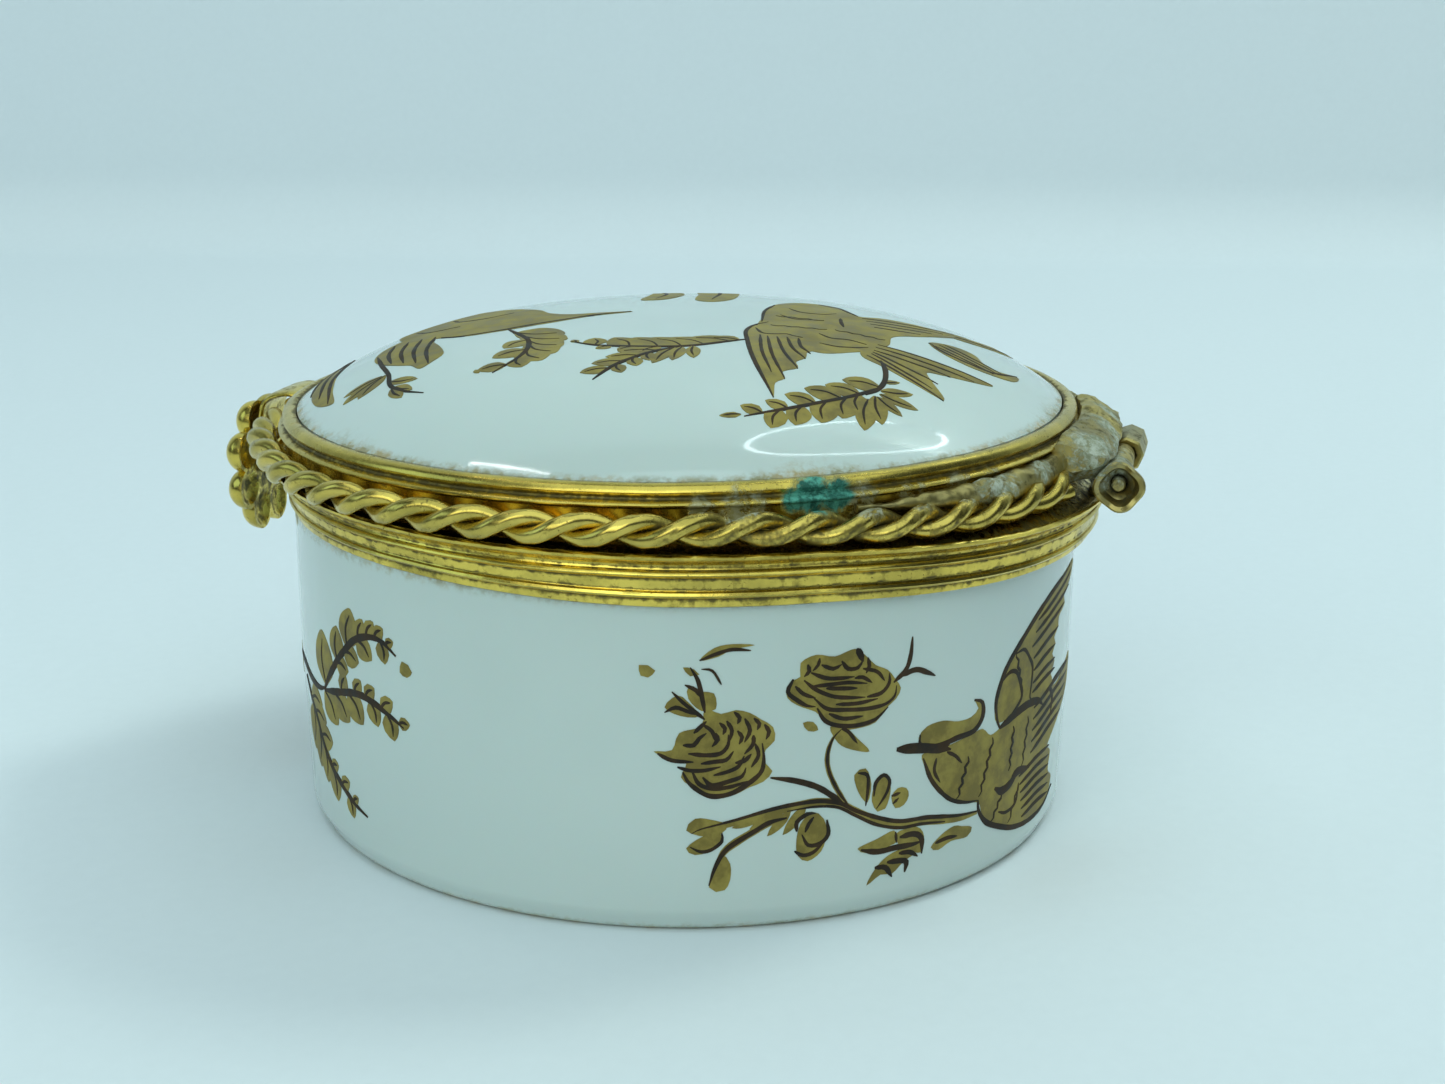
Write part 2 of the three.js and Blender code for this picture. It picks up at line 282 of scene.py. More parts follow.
def brass_material(name, bright, dull, dark, roughness=0.2, wear=0.5, verdigris=(),
                   crust=(), crusted=0.55):
    """Worn gilding: bright on the ribs, dark where the grime mark is high, with speckle, scuffs and corrosion
    spots. The mark is dirt in the bezels' grooves, painted shade and a painted dark reflection on the wires,
    and painted shade in the hinge bores.
    """
    tree = Tree(name)
    blotch = tree.noise(260, 4, 0.6)
    speck = tree.noise(3400, 3, 0.7)
    fine = tree.noise(1500, 4, 0.65)
    colour = tree.mix(tree.ramp(blotch, 0.5 - wear * 0.3, 0.68), bright, dull)
    # Dark where the mark is high: dirt in the grooves, painted shade between the wires and in the hinge
    # bores, and a painted dark reflection along the wires' creases.
    grooves = tree.math("ADD", tree.mark("grime_and_shade"), tree.ramp(fine, 0.3, 0.75, -0.35, 0.35))
    grooves = tree.ramp(grooves, 0.25, 0.95)
    pits = tree.math("MULTIPLY", tree.ramp(speck, 0.60, 0.72), tree.ramp(blotch, 0.35, 0.6))
    dirt = tree.math("MAXIMUM", grooves, tree.math("MULTIPLY", pits, 0.8))
    colour = tree.mix(tree.math("MULTIPLY", dirt, 0.88), colour, dark)
    rough = tree.ramp(tree.math("ADD", dirt, tree.math("MULTIPLY", fine, 0.5)), 0.1, 1.3,
                      roughness, roughness + 0.3)
    metal = tree.ramp(dirt, 0.4, 1.0, 1.0, 0.6)
    height = tree.math("ADD", tree.math("MULTIPLY", blotch, 1.2), tree.math("MULTIPLY", fine, 0.35))
    for spots, pale, deep, thick, least in ((crust, (0.52, 0.56, 0.47), (0.25, 0.27, 0.17), crusted, 0.0),
                                            (verdigris, (0.10, 0.40, 0.30), (0.01, 0.10, 0.07), 1.0, 0.7)):
        if spots:
            patches = tree.ramp(tree.noise(820, 6, 0.8, 0.6), 0.36, 0.64, least, 1.5)
            cover = tree.ramp(tree.math("MULTIPLY", tree.near(spots), patches), 0.15, 0.85, 0.0, thick)
            grain = tree.noise(1800, 5, 0.75)
            colour = tree.mix(cover, colour, tree.mix(tree.ramp(grain, 0.4, 0.62), deep, pale))
            rough = tree.math("MAXIMUM", rough, tree.math("MULTIPLY", cover, 0.75))
            metal = tree.math("MULTIPLY", metal, tree.math("SUBTRACT", 1.0, cover))
            height = tree.math("ADD", height, tree.math("MULTIPLY", tree.math("MULTIPLY", cover, grain), 2.5))
    tree.set(Base_Color=colour, Metallic=metal, Roughness=rough)
    tree.bump(height, 0.06, 0.55)
    return tree.material


def paint_material(name, light, deep, metallic, roughness):
    """Fired matt gold or brown line work, uneven where the brush ran dry."""
    tree = Tree(name)
    strokes = tree.noise(900, 4, 0.6)
    pools = tree.noise(260, 2)
    share = tree.math("ADD", tree.math("MULTIPLY", strokes, 0.6), tree.math("MULTIPLY", pools, 0.4))
    tree.set(Base_Color=tree.mix(tree.ramp(share, 0.38, 0.62), deep, light))
    tree.set(Roughness=tree.ramp(strokes, 0.3, 0.7, roughness - 0.08, roughness + 0.1))
    tree.set(Metallic=metallic, Specular_IOR_Level=0.3)
    tree.bump(strokes, 0.012, 0.5)
    return tree.material


def plaster_material():
    """Chalky bedding between the porcelain and the brass."""
    tree = Tree("plaster")
    grain = tree.noise(1600, 5, 0.7)
    tree.set(Base_Color=tree.mix(grain, (0.52, 0.48, 0.40), (0.78, 0.75, 0.68)), Roughness=0.9)
    tree.bump(grain, 0.1, 0.6)
    return tree.material


def paper_material():
    """The pale paper that the box stands on."""
    tree = Tree("paper")
    grain = tree.noise(900, 4, 0.6)
    tree.set(Base_Color=tree.mix(grain, (0.785, 0.83, 0.855), (0.82, 0.865, 0.89)), Roughness=0.65)
    tree.bump(grain, 0.02, 0.2)
    return tree.material


# Where the corrosion sits on the lid: blue-green by the front of the wire border, and a grey-green crust
# from there to the hinge. Each is (x, y, z, radius).
VERDIGRIS = ((21.9, 12.5, 25.5, 1.9), (21.3, 13.6, 25.3, 1.7), (22.4, 11.6, 25.2, 1.2))
CRUST = ((23.6, 9.0, 24.9, 2.0), (24.3, 6.8, 24.9, 1.2), (20.6, 15.0, 24.9, 1.8), (18.4, 17.6, 24.9, 1.6),
         (16.0, 19.8, 24.9, 1.6), (13.8, 21.4, 24.9, 1.5))
HINGE_CRUST = ((5.8, 26.2, 24.6, 3.2), (3.5, 27.4, 24.4, 2.4), (0.5, 26.8, 25.2, 2.6), (14, 21.4, 25.0, 2.8),
               (10, 23.8, 25.2, 1.8), (-4, 26.4, 25.4, 1.8))

GOLD = (0.84, 0.615, 0.12)
OLD_GOLD = (0.52, 0.385, 0.08)
# Dark tone for dirt in the brass grooves, and for the painted shade and painted dark reflection on the wires.
GRIME_AND_SHADE = (0.06, 0.045, 0.015)
glaze = porcelain_material("porcelain")
gilt = brass_material("gilt_brass", GOLD, OLD_GOLD, GRIME_AND_SHADE)
gilt_lid = brass_material("gilt_brass_lid", (0.76, 0.55, 0.11), OLD_GOLD, GRIME_AND_SHADE, roughness=0.25, wear=0.7,
                          verdigris=VERDIGRIS, crust=CRUST)
gilt_wire = brass_material("gilt_wire", (0.72, 0.53, 0.12), (0.46, 0.345, 0.075), GRIME_AND_SHADE, roughness=0.24,
                           verdigris=VERDIGRIS[:1], crust=CRUST, crusted=0.75)
hinge_brass = brass_material("hinge_brass", (0.62, 0.48, 0.15), (0.34, 0.28, 0.12), (0.05, 0.045, 0.025),
                             roughness=0.4, wear=0.8, crust=HINGE_CRUST, crusted=0.9)
ochre = paint_material("painted_gold", (0.36, 0.275, 0.060), (0.20, 0.145, 0.030), 0.2, 0.5)
umber = paint_material("painted_line", (0.050, 0.024, 0.007), (0.014, 0.007, 0.002), 0.0, 0.6)
plaster = plaster_material()


# Porcelain

def base_radius(z):
    """Outer radius of the bowl at a height above the foot."""
    if z >= TAPER_TOP:
        return BASE_R
    return LOW_BASE_R + (BASE_R - LOW_BASE_R) * smoothstep(-6, TAPER_TOP, z)


def dome_z(r):
    """Height of the lid's glaze at a distance from its middle."""
    return BORDER_Z + DOME_H * (1 - (min(r, LID_R) / LID_R) ** DOME_POWER)


def hand_made(amount):
    """A slow unevenness, as in a cast and hand-finished piece."""
    def rough(turn, r, z):
        shift = amount * wobble(math.cos(turn) * 1.6, math.sin(turn) * 1.6, z * 0.06)
        return shift * min(1, r / 8), 0
    return rough


def steps(start, end, count):
    """count + 1 evenly spaced values from start to end."""
    return [start + (end - start) * i / count for i in range(count + 1)]


def porcelain_base():
    """The bowl, soiled under the bezel, most of all on the side towards the hinge."""
    foot = [(0, 0.25, 0.1), (20.6, 0.25, 0.2), (21.0, 0.05, 0.5), (21.4, 0, 0.7), (23.6, 0, 0.8),
            (23.9, 0.06, 0.85), (24.12, 0.22, 0.6), (24.27, 0.45, 0.3), (24.37, 0.8, 0.0)]
    wall = [(base_radius(z), z, 0.9 * smoothstep(18.9, 19.75, z)) for z in steps(1.2, 20.2, 60)]
    rim = [(25.0, 21.2, 0), (24.8, 21.45, 0), (22.6, 21.45, 0), (22.35, 21.2, 0)]
    inside = [(22.3, z, 0) for z in (18, 12, 7, 5.4)]
    cove = [(19.3 + 3 * math.cos(a), 5.6 - 3 * math.sin(a), 0) for a in steps(0.1, math.pi / 2, 8)]
    outline = foot + wall + rim + inside + cove + [(10, 2.6, 0), (0, 2.6, 0)]
    verts, faces, marks = turned(outline, rough=hand_made(0.06))
    for i, (x, y, z) in enumerate(verts):
        turn = math.degrees(math.atan2(y, x))
        if 17 < z < 20.3 and math.hypot(x, y) > 24:
            side = smoothstep(30, 60, turn) * smoothstep(110, 90, turn)
            patch = 0.5 + 0.5 * wobble(x, y, z * 1.6, 0.45)
            marks["grime_and_shade"][i] *= 0.7 + 0.3 * side
            marks["grime_and_shade"][i] += side * patch * 0.9 * smoothstep(17.9, 19.2, z)
    build("bowl", verts, faces, glaze, "base", stands_for=["porcelain_base"], marks=marks)


def porcelain_lid():
    """The dome, with residue along the bezel in three places."""
    radii = [LID_R * (1 - (i / 40) ** 1.7) for i in range(41)]
    outside = [(r, dome_z(r), 0.65 * smoothstep(23.6, 24.2, r)) for r in radii]
    inside = [(22.2 * (i / 14) ** 0.7, 0, 0) for i in range(15)]
    inside = [(r, 25.1 + 4.1 * (1 - (r / 22.2) ** DOME_POWER), 0) for r, _, _ in inside]
    edge = [(22.75, 24.6, 0), (22.85, 24.3, 0), (24.1, 24.3, 0), (24.2, 24.5, 0), (24.2, 26.3, 0)]
    verts, faces, marks = turned(inside + edge + outside, rough=hand_made(0.05))
    for i, (x, y, z) in enumerate(verts):
        r = math.hypot(x, y)
        if r > 20 and z > 26.4:
            turn = math.degrees(math.atan2(y, x))
            patch = 0.5 + 0.5 * wobble(x, y, z, 0.35)
            spill = math.exp(-((turn - 32) / 7) ** 2) + 0.8 * math.exp(-((turn - 88) / 16) ** 2)
            spill += 0.75 * math.exp(-((turn + 50) / 24) ** 2)
            marks["grime_and_shade"][i] += 0.9 * spill * patch * smoothstep(22.3, 24.0, r)
    build("lid_dome", verts, faces, glaze, "lid", LID_RING, ["porcelain_lid"], marks)


# Brass bezels

def worn(amount, edge_low=None):
    """Dents and drags along a soft brass strip; a cut edge below edge_low is rougher."""
    def rough(turn, r, z):
        x, y = math.cos(turn), math.sin(turn)
        slow = amount * wobble(x * 3, y * 3, z * 0.15)
        quick = 0.35 * amount * wobble(x * 38, y * 38, z * 1.3)
        lift = 0.5 * amount * wobble(x * 9 + 5, y * 9, 0)
        if edge_low and z > edge_low:
            lift += 1.3 * amount * wobble(x * 60, y * 60, 3)
        return slow + quick, lift
    return rough


BEZEL_SHIFT = 0.35
BEZEL_SAG = 0.7
BEZEL_BULGE = 0.35
SKIRT_LIFT = 0.3


def base_bezel():
    """Reeded skirt and rolled lip, set a little towards the hinge."""
    reeds = [(25.06, 19.55, 0.9), (25.24, 19.5, 0.6), (25.36, 19.58, 0.3), (25.40, 19.8, 0.35),
             (25.38, 20.0, 0.9), (25.46, 20.06, 0.5), (25.60, 20.14, 0.0), (25.68, 20.26, 0.0),
             (25.62, 20.40, 0.0), (25.52, 20.46, 0.7), (25.56, 20.52, 0.1), (25.53, 20.60, 0.7),
             (25.55, 20.72, 0.3), (25.58, 21.0, 0.25), (25.58, 21.18, 0.95), (25.70, 21.25, 0.5),
             (25.88, 21.36, 0.0), (25.96, 21.48, 0.0), (25.90, 21.62, 0.0), (25.78, 21.70, 0.8),
             (25.84, 21.78, 0.1), (25.80, 21.88, 0.7), (25.84, 22.0, 0.45), (25.96, 22.16, 0.4),
             (26.2, 22.28, 0.35), (26.40, 22.38, 0.2), (26.49, 22.48, 0.1), (26.48, 22.60, 0.0),
             (26.38, 22.69, 0.1), (26.22, 22.71, 0.3), (26.0, 22.60, 0.6), (25.8, 22.36, 0.8),
             (25.5, 22.3, 0.8), (24.6, 22.3, 0.5), (22.25, 22.3, 0.3), (22.2, 22.25, 0.3),
             (22.2, 21.85, 0.4), (24.9, 21.8, 0.4), (25.06, 21.7, 0.4)]
    dents = worn(0.035, edge_low=22.4)

    def rough(turn, r, z):
        """Dents, the sag at the hinge where the ring is pulled down, and a lifted skirt at the clasp."""
        out, lift = dents(turn, r, z)
        hinge_side = smoothstep(0.45, 1, math.sin(turn)) * smoothstep(24.9, 25.5, r)
        lift -= BEZEL_SAG * hinge_side
        out += BEZEL_BULGE * hinge_side
        lift += SKIRT_LIFT * smoothstep(22, 19.5, z) * smoothstep(0.2, -0.5, math.sin(turn))
        return out, lift

    verts, faces, marks = turned(reeds, sides=480, rough=rough)
    build("bezel_base", verts, faces, gilt, "base", Matrix.Translation((0, BEZEL_SHIFT, 0)),
          ["base_bezel"], marks)


def lid_bezel():
    """Plain band, thin ridge, groove and the bead that holds the glaze."""
    outline = [(23.05, 23.25, 0.5), (23.1, 23.2, 0.5), (25.0, 23.2, 0.5), (25.06, 23.3, 0.0),
               (25.06, 24.6, 0.0), (25.08, 25.02, 0.1), (25.14, 25.2, 0.5), (25.3, 25.29, 0.1),
               (25.42, 25.38, 0.0), (25.44, 25.46, 0.0), (25.36, 25.54, 0.1), (25.18, 25.62, 0.5),
               (24.98, 25.68, 1.0), (24.92, 25.78, 0.9), (24.99, 25.88, 0.5), (25.12, 25.98, 0.0),
               (25.17, 26.1, 0.0), (25.12, 26.24, 0.0), (25.0, 26.38, 0.0), (24.82, 26.48, 0.05),
               (24.62, 26.52, 0.25), (24.42, 26.5, 0.7), (24.3, 26.42, 1.0), (24.28, 26.2, 1.0),
               (24.28, 24.2, 0.8), (24.2, 23.75, 0.5), (23.1, 23.75, 0.5), (23.05, 23.7, 0.5)]
    verts, faces, marks = turned(outline, sides=480, rough=worn(0.04))
    build("bezel_lid", verts, faces, gilt_lid, "lid", LID_RING, ["lid_bezel"], marks)


def collar():
    """The ring inside the rim that centres the lid."""
    outline = [(21.7, 20.6, 0.5), (22.1, 20.6, 0.5), (22.12, 22.2, 0.5), (22.1, 24.3, 0.1),
               (22.02, 24.52, 0.0), (21.9, 24.58, 0.0), (21.78, 24.52, 0.0), (21.7, 24.3, 0.1),
               (21.68, 22.2, 0.3)]
    verts, faces, marks = turned(outline, rough=worn(0.02))
    build("collar", verts, faces, gilt, "base", stands_for=["locating_collar"], marks=marks)


def plaster_beds():
    """The beds under the base bezel and in the lid bezel."""
    low = [(22.5, 21.56, 0), (24.75, 21.56, 0), (24.75, 21.76, 0), (22.5, 21.76, 0)]
    high = [(23.15, 23.84, 0), (24.05, 23.84, 0), (24.05, 24.16, 0), (23.12, 24.16, 0)]
    for name, outline, body, place, node in (("plaster_base", low, "base", LEVEL, "base_cement"),
                                             ("plaster_lid", high, "lid", LID_RING, "lid_cement")):
        verts, faces, _ = turned(outline, sides=160, rough=worn(0.03))
        build(name, verts, faces, plaster, body, place, [node])


# Twisted wire border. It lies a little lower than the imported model's and its wires are thicker.

WIRE_RING_R = 26.1
WIRE_Z = 24.25
WIRE_GAP = math.radians(16)
WIRE_PITCH = 6.4
WIRE_OFFSET = 0.49
WIRE_R = 0.49
WIRE_SIDES = 20
WIRE_STATIONS = 1500
WIRE_SAG = 0.85
CLASP_PUSH = 0.6


def wire(name, phase, node):
    """One of two wires wound round each other, lying in the angle of the lid bezel. Its grime mark holds
    painted shade where the wires meet and where a wire lies behind, a painted dark reflection along the
    crease, and real dullness towards the hinge.
    """
    span = TAU - 2 * WIRE_GAP
    turns = span * WIRE_RING_R / WIRE_PITCH
    slope = TAU * WIRE_OFFSET / WIRE_PITCH
    up = Vector((0, 0, 1))
    rings, dirt = [], []
    for i in range(WIRE_STATIONS + 1):
        t = i / WIRE_STATIONS
        angle = math.pi / 2 + WIRE_GAP + span * t
        twist = phase + turns * TAU * t
        out = Vector((math.cos(angle), math.sin(angle), 0))
        along = Vector((-math.sin(angle), math.cos(angle), 0))
        slack = 0.05 * wobble(out.x * 5, out.y * 5, 1.7) + CLASP_PUSH * smoothstep(-0.85, -0.98, out.y)
        centre = out * (WIRE_RING_R + WIRE_OFFSET * math.cos(twist) + slack)
        drop = WIRE_SAG * smoothstep(0.3, 0.95, out.y)
        wave = 0.06 * wobble(out.x * 4, out.y * 4, 8.1)
        centre += up * (WIRE_Z - drop + WIRE_OFFSET * 1.02 * math.sin(twist) + wave)
        tangent = (along + slope * (up * math.cos(twist) - out * math.sin(twist))).normalized()
        side = (out * math.cos(twist) + up * math.sin(twist)).normalized()
        cross = tangent.cross(side)
        dull = smoothstep(0.1, 0.35, out.y) * smoothstep(0.95, 0.7, out.y) * smoothstep(-0.2, 0.2, out.x)
        size = WIRE_R * (1 + 0.04 * wobble(angle * 9, phase, 0))
        ring = []
        for a in steps(0, TAU, WIRE_SIDES)[:-1]:
            crease = 1 - 0.09 * math.exp(-((a if a < math.pi else a - TAU) / 0.3) ** 2)
            ring.append(centre + size * crease * (side * math.cos(a) + cross * math.sin(a)))
            # Painted shade on the side that turns to the other wire and on the turns that lie behind, a
            # painted dark reflection along the crease, and real dullness towards the hinge.
            inward = max(0.0, -math.cos(a))
            painted_shade = 0.5 * inward ** 2 + 0.2 * max(0.0, -math.cos(twist))
            dirt.append(painted_shade + 3.5 * (1 - crease) + 0.42 * dull)
        rings.append(ring)
    verts, faces = sweep(rings)
    build(name, verts, faces, gilt_wire, "lid", LID_RING, [node], {"grime_and_shade": dirt}, sharp=60)


# Clasp

PETALS = 8
PETAL_RING = 3.25
PETAL_R = 1.36
PETAL_DEPTH = 1.2
BOSS_R = 1.25
BOSS_DEPTH = 0.9
SHEET = 0.28
STRIP = 0.21  # half the thickness of the bracket
ROSETTE_AT = (0, -29.1, 20.7)


def petal_reach(turn):
    """Radius of the flower's outline."""
    off = turn % (TAU / PETALS) - math.pi / PETALS
    return PETAL_RING * math.cos(off) + math.sqrt(PETAL_R ** 2 - (PETAL_RING * math.sin(off)) ** 2)


def bulge(rho, turn, skin):
    """Height of the stamped petals and the boss over the flower's flat, less the thickness of the sheet."""
    off = turn % (TAU / PETALS) - math.pi / PETALS
    gap = math.hypot(rho * math.cos(off) - PETAL_RING, rho * math.sin(off))
    petal = (PETAL_DEPTH - skin) * math.sqrt(max(0, 1 - (gap / (PETAL_R - skin)) ** 2))
    boss = (BOSS_DEPTH - skin) * math.sqrt(max(0, 1 - (rho / (BOSS_R - skin)) ** 2))
    return max(petal, boss)


def rosette():
    """A stamped flower of hollow round petals, facing out from the clasp."""
    shares = steps(0, 1, 20)[1:]
    # The back of the flower, which faces the box, is marked darker than its front, most of all at the middle.
    outline = [(0, 0.2, 0.8)] + [(t, 0, 0.8 - 0.35 * t) for t in shares]
    outline += [(t, 1, 0.1) for t in reversed(shares)] + [(0, 0.9, 0)]

    def stamped(turn, share, side):
        """Moves a point of the turned disc to the flower's front, where side is 1, or to its back."""
        uneven = 1 + 0.02 * wobble(math.cos(turn), math.sin(turn), 5)
        rho = petal_reach(turn) * math.sin(share * math.pi / 2) * uneven
        height = bulge(rho, turn, 0) if side else 0.4 * bulge(rho, turn, SHEET) - 0.2
        return rho - share, height - side

    verts, faces, marks = turned(outline, sides=192, rough=stamped)
    place = LID_RING @ Matrix.Translation(ROSETTE_AT) @ Matrix.Rotation(math.pi / 2, 4, "X")
    build("rosette", verts, faces, gilt, "lid", place, ["clasp_rosette"], marks)


def bracket():
    """A bent strip from the lid bezel over the wire border and down behind the flower."""
    path = spline([(0, -24.95, 25.3), (0, -26, 25.75), (0, -27.3, 25.6), (0, -28.2, 24.9), (0, -28.55, 23.7),
                   (0, -28.68, 22), (0, -28.7, 20.3)], step=0.2)
    across = Vector((1, 0, 0))
    rings = []
    for i, p in enumerate(path):
        way = (path[min(i + 1, len(path) - 1)] - path[max(i - 1, 0)]).normalized()
        up = way.cross(across)
        half = 2.3 - 0.7 * smoothstep(0, len(path), i) + 0.06 * wobble(p.y, p.z, 0)
        ring = []
        for a in steps(0, TAU, 24)[:-1]:
            c, d = math.cos(a), math.sin(a)
            wide = math.copysign(abs(c) ** 0.4, c)
            thick = math.copysign(abs(d) ** 0.7, d)
            spot = p + across * half * wide + up * STRIP * thick
            ring.append(spot + up * 0.05 * wobble(p.y * 1.2, c * 2, 2))
        rings.append(ring)
    verts, faces = sweep(rings)
    build("bracket", verts, faces, gilt, "lid", LID_RING, ["clasp_bracket"],
          {"grime_and_shade": [0.45] * len(verts)})


# Hinge

def tube(stations, sides=40, square=0.0, ragged=0.0):
    """A round along the hinge axis. Each station is (x, radius, shift towards the box, grime); the grime of
    the stations inside a bore is painted shade.
    Stations that turn back make a bore. square flattens four sides and ragged tears the near end."""
    rings, dirt = [], []
    for x, radius, shift, grime_and_shade in stations:
        ring = []
        for j in range(sides):
            a = TAU * j / sides
            corner = square * smoothstep(0.6, 0.9, radius) * math.cos(4 * a + 0.5)
            r = radius * (1 + corner + 0.04 * wobble(math.cos(a), math.sin(a), x * 0.4))
            slip = ragged * smoothstep(5.8, 6.7, x) * wobble(math.cos(a) * 1.7, math.sin(a) * 1.7, 4)
            ring.append((x + slip, HINGE.y - shift + r * math.cos(a), HINGE.z - r * math.sin(a)))
            dirt.append(grime_and_shade)
        rings.append(ring)
    verts, faces = sweep(rings, closed_sweep=stations[-1][0] * stations[0][0] > 0)
    return verts, faces, {"grime_and_shade": dirt}


def hinge():
    """The three knuckles, the pin and the leaf on the base."""
    # The stations inside the bores carry the darkest values: painted shade in the holes, growing deeper into
    # the near knuckle's mouth.
    near = [(2.05, 0.84, 0.25, 0.4), (2.2, 0.92, 0.25, 0.3), (3.2, 0.98, 0.2, 0.4), (4.4, 1.1, 0.1, 0.3),
            (5.6, 1.3, 0, 0.3), (6.4, 1.46, -0.05, 0.2), (6.72, 1.47, -0.05, 0.0), (6.8, 1.36, -0.05, 0.0),
            (6.72, 1.12, -0.05, 0.1), (6.4, 0.98, -0.05, 0.45), (5.9, 0.88, 0, 0.5), (5.7, 0.62, 0, 0.6),
            (5.5, 0.5, 0.02, 1.0), (2.1, 0.5, 0.02, 1.0)]
    middle = [(-1.95, 0.7, 0.25, 0.5), (-1.8, 0.8, 0.25, 0.3), (0, 0.84, 0.25, 0.5), (1.8, 0.8, 0.25, 0.3),
              (1.95, 0.7, 0.25, 0.5)]
    far = [(-6.45, 0.9, -0.1, 0.4), (-6.3, 1.1, -0.1, 0.3), (-4, 1.12, -0.03, 0.5),
           (-2.15, 1.12, 0.02, 0.3), (-2.02, 0.98, 0.02, 0.1), (-2.1, 0.72, 0.02, 0.3),
           (-2.6, 0.52, 0.02, 0.9), (-6.4, 0.52, 0.02, 0.9)]
    pin = [(-6.1, 0.3, 0.02, 0.4), (-6, 0.42, 0.02, 0.3), (5.95, 0.42, 0.02, 0.7), (6.1, 0.34, 0.02, 0.6)]
    for name, node, stations, sides, square, ragged, body in (
            ("knuckle_near", "hinge_knuckle_near", near, 48, 0.05, 0.3, "lid"),
            ("knuckle_middle", "hinge_knuckle_middle", middle, 32, 0.0, 0.0, "base"),
            ("knuckle_far", "hinge_knuckle_far", far, 8, 0.0, 0.0, "lid"),
            ("pin", "hinge_pin", pin, 24, 0.0, 0.0, "base")):
        verts, faces, marks = tube(stations, sides, square, ragged)
        build(name, verts, faces, hinge_brass, body, LEVEL, [node], marks)
    profile = spline([(25.9, 21.1), (26.6, 21.0), (27.5, 21.7), (28.0, 22.4), (27.6, 22.7), (26.9, 22.3),
                      (26.3, 21.9), (25.9, 21.9)], closed=True, step=0.25)
    rings = [[(x, p.x, p.y) for p in reversed(profile)] for x in (-1.9, -1.8, 1.8, 1.9)]
    verts, faces = sweep(rings)
    build("leaf_base", verts, faces, hinge_brass, "base", LEVEL, ["hinge_leaf_base"],
          {"grime_and_shade": [0.4] * len(verts)})


def solder():
    """The lid's hinge leaf under lumps of solder and crust, and the run of it along the wire border."""
    rings, dirt = [], []
    for x in steps(-6.8, 7.0, 72):
        shrink = 1 - 0.5 * smoothstep(5.6, 7, abs(x))
        inner = math.sqrt(25.0 ** 2 - x * x)
        reach = 27.5 - inner - 0.5 * smoothstep(3.5, 6.5, abs(x))
        low = 23.3 + 0.7 * smoothstep(3, 1.5, x)
        section = [(0, low), (0.4, low - 0.05), (0.75, low + 0.15), (0.95, 24.2), (0.98, 24.8),
                   (0.78, 25.3), (0.5, 25.8), (0.22, 26.15), (0, 26.1), (-0.05, 25.5), (-0.05, 24.4)]
        profile = spline([(inner + a * reach, 25 + (z - 25) * shrink) for a, z in section], closed=True,
                         step=0.3)
        count = 32
        ring = []
        for j in range(count):
            y, z = profile[j * len(profile) // count]
            lump = 0.22 * wobble(x * 0.75, y * 0.75, z * 0.75) + 0.1 * wobble(x * 2.4, y * 2.4, z * 2.4)
            y, z = y + lump * 0.5, z + lump
            gap = math.hypot(y - HINGE.y, z - HINGE.z)
            push = max(1, 1.3 / gap)
            ring.append((x, HINGE.y + (y - HINGE.y) * push, HINGE.z + (z - HINGE.z) * push))
            dirt.append(0.35 + 0.4 * wobble(x * 0.6, y * 0.6, z))
        rings.append(list(reversed(ring)))
    verts, faces = sweep(rings)
    build("leaf_lid", verts, faces, hinge_brass, "lid", LEVEL, ["hinge_leaf_lid"],
          {"grime_and_shade": dirt})
    for name, start, end, rise in (("solder_near", 36, 80, -0.4), ("solder_far", 124, 101, 0.2)):
        rings = []
        for share in steps(0, 1, 90):
            turn = math.radians(start + (end - start) * share)
            out = Vector((math.cos(turn), math.sin(turn), 0))
            full = smoothstep(0, 0.6, share)
            ring = []
            for a in steps(0, TAU, 20)[:-1]:
                spot = out * (25.45 + 0.1 * full + (0.3 + 0.45 * full) * math.cos(a))
                spot += Vector((0, 0, 24.75 + rise * full + (0.2 + 0.65 * full) * math.sin(a)))
                lump = wobble(*(spot * 0.9)) + 0.4 * wobble(*(spot * 2.6))
                ring.append(spot + (out * math.cos(a) + Vector((0, 0, math.sin(a)))) * 0.22 * lump)
            rings.append(list(reversed(ring)) if end > start else ring)
        verts, faces = sweep(rings)
        build(name, verts, faces, hinge_brass, "lid", LID_RING,
              marks={"grime_and_shade": [0.35 + 0.4 * wobble(*(v * 0.5)) for v in verts]})


# Painted decoration: flat shapes and brush lines laid on the glaze as thin raised pieces

FILL_HEIGHT = 0.03
LINE_HEIGHT = 0.05
SUNK = 0.05  # how far the underside reaches into the glaze
CELL = 1.2  # flat shapes are cut up this finely before they are bent
glaze_drift = hand_made(0.06)
lid_drift = hand_made(0.05)


def on_bowl(across, height):
    """Point and outward direction on the wall; across runs round the wall from +X towards the hinge."""
    turn = across / BASE_R
    out = Vector((math.cos(turn), math.sin(turn), 0))
    r = base_radius(height)
    return out * (r + glaze_drift(turn, r, height)[0]) + Vector((0, 0, height)), out


def on_lid(y, x):
    """Point and outward direction on the dome."""
    r = math.hypot(x, y)
    z = dome_z(r)
    turn = math.atan2(y, x)
    steep = DOME_H * DOME_POWER / LID_R * (r / LID_R) ** (DOME_POWER - 1)
    out = Vector((math.cos(turn), math.sin(turn), 0))
    return out * (r + lid_drift(turn, r, z)[0]) + Vector((0, 0,
                                                          z)), (out * steep + Vector((0, 0,
                                                                                      1))).normalized()


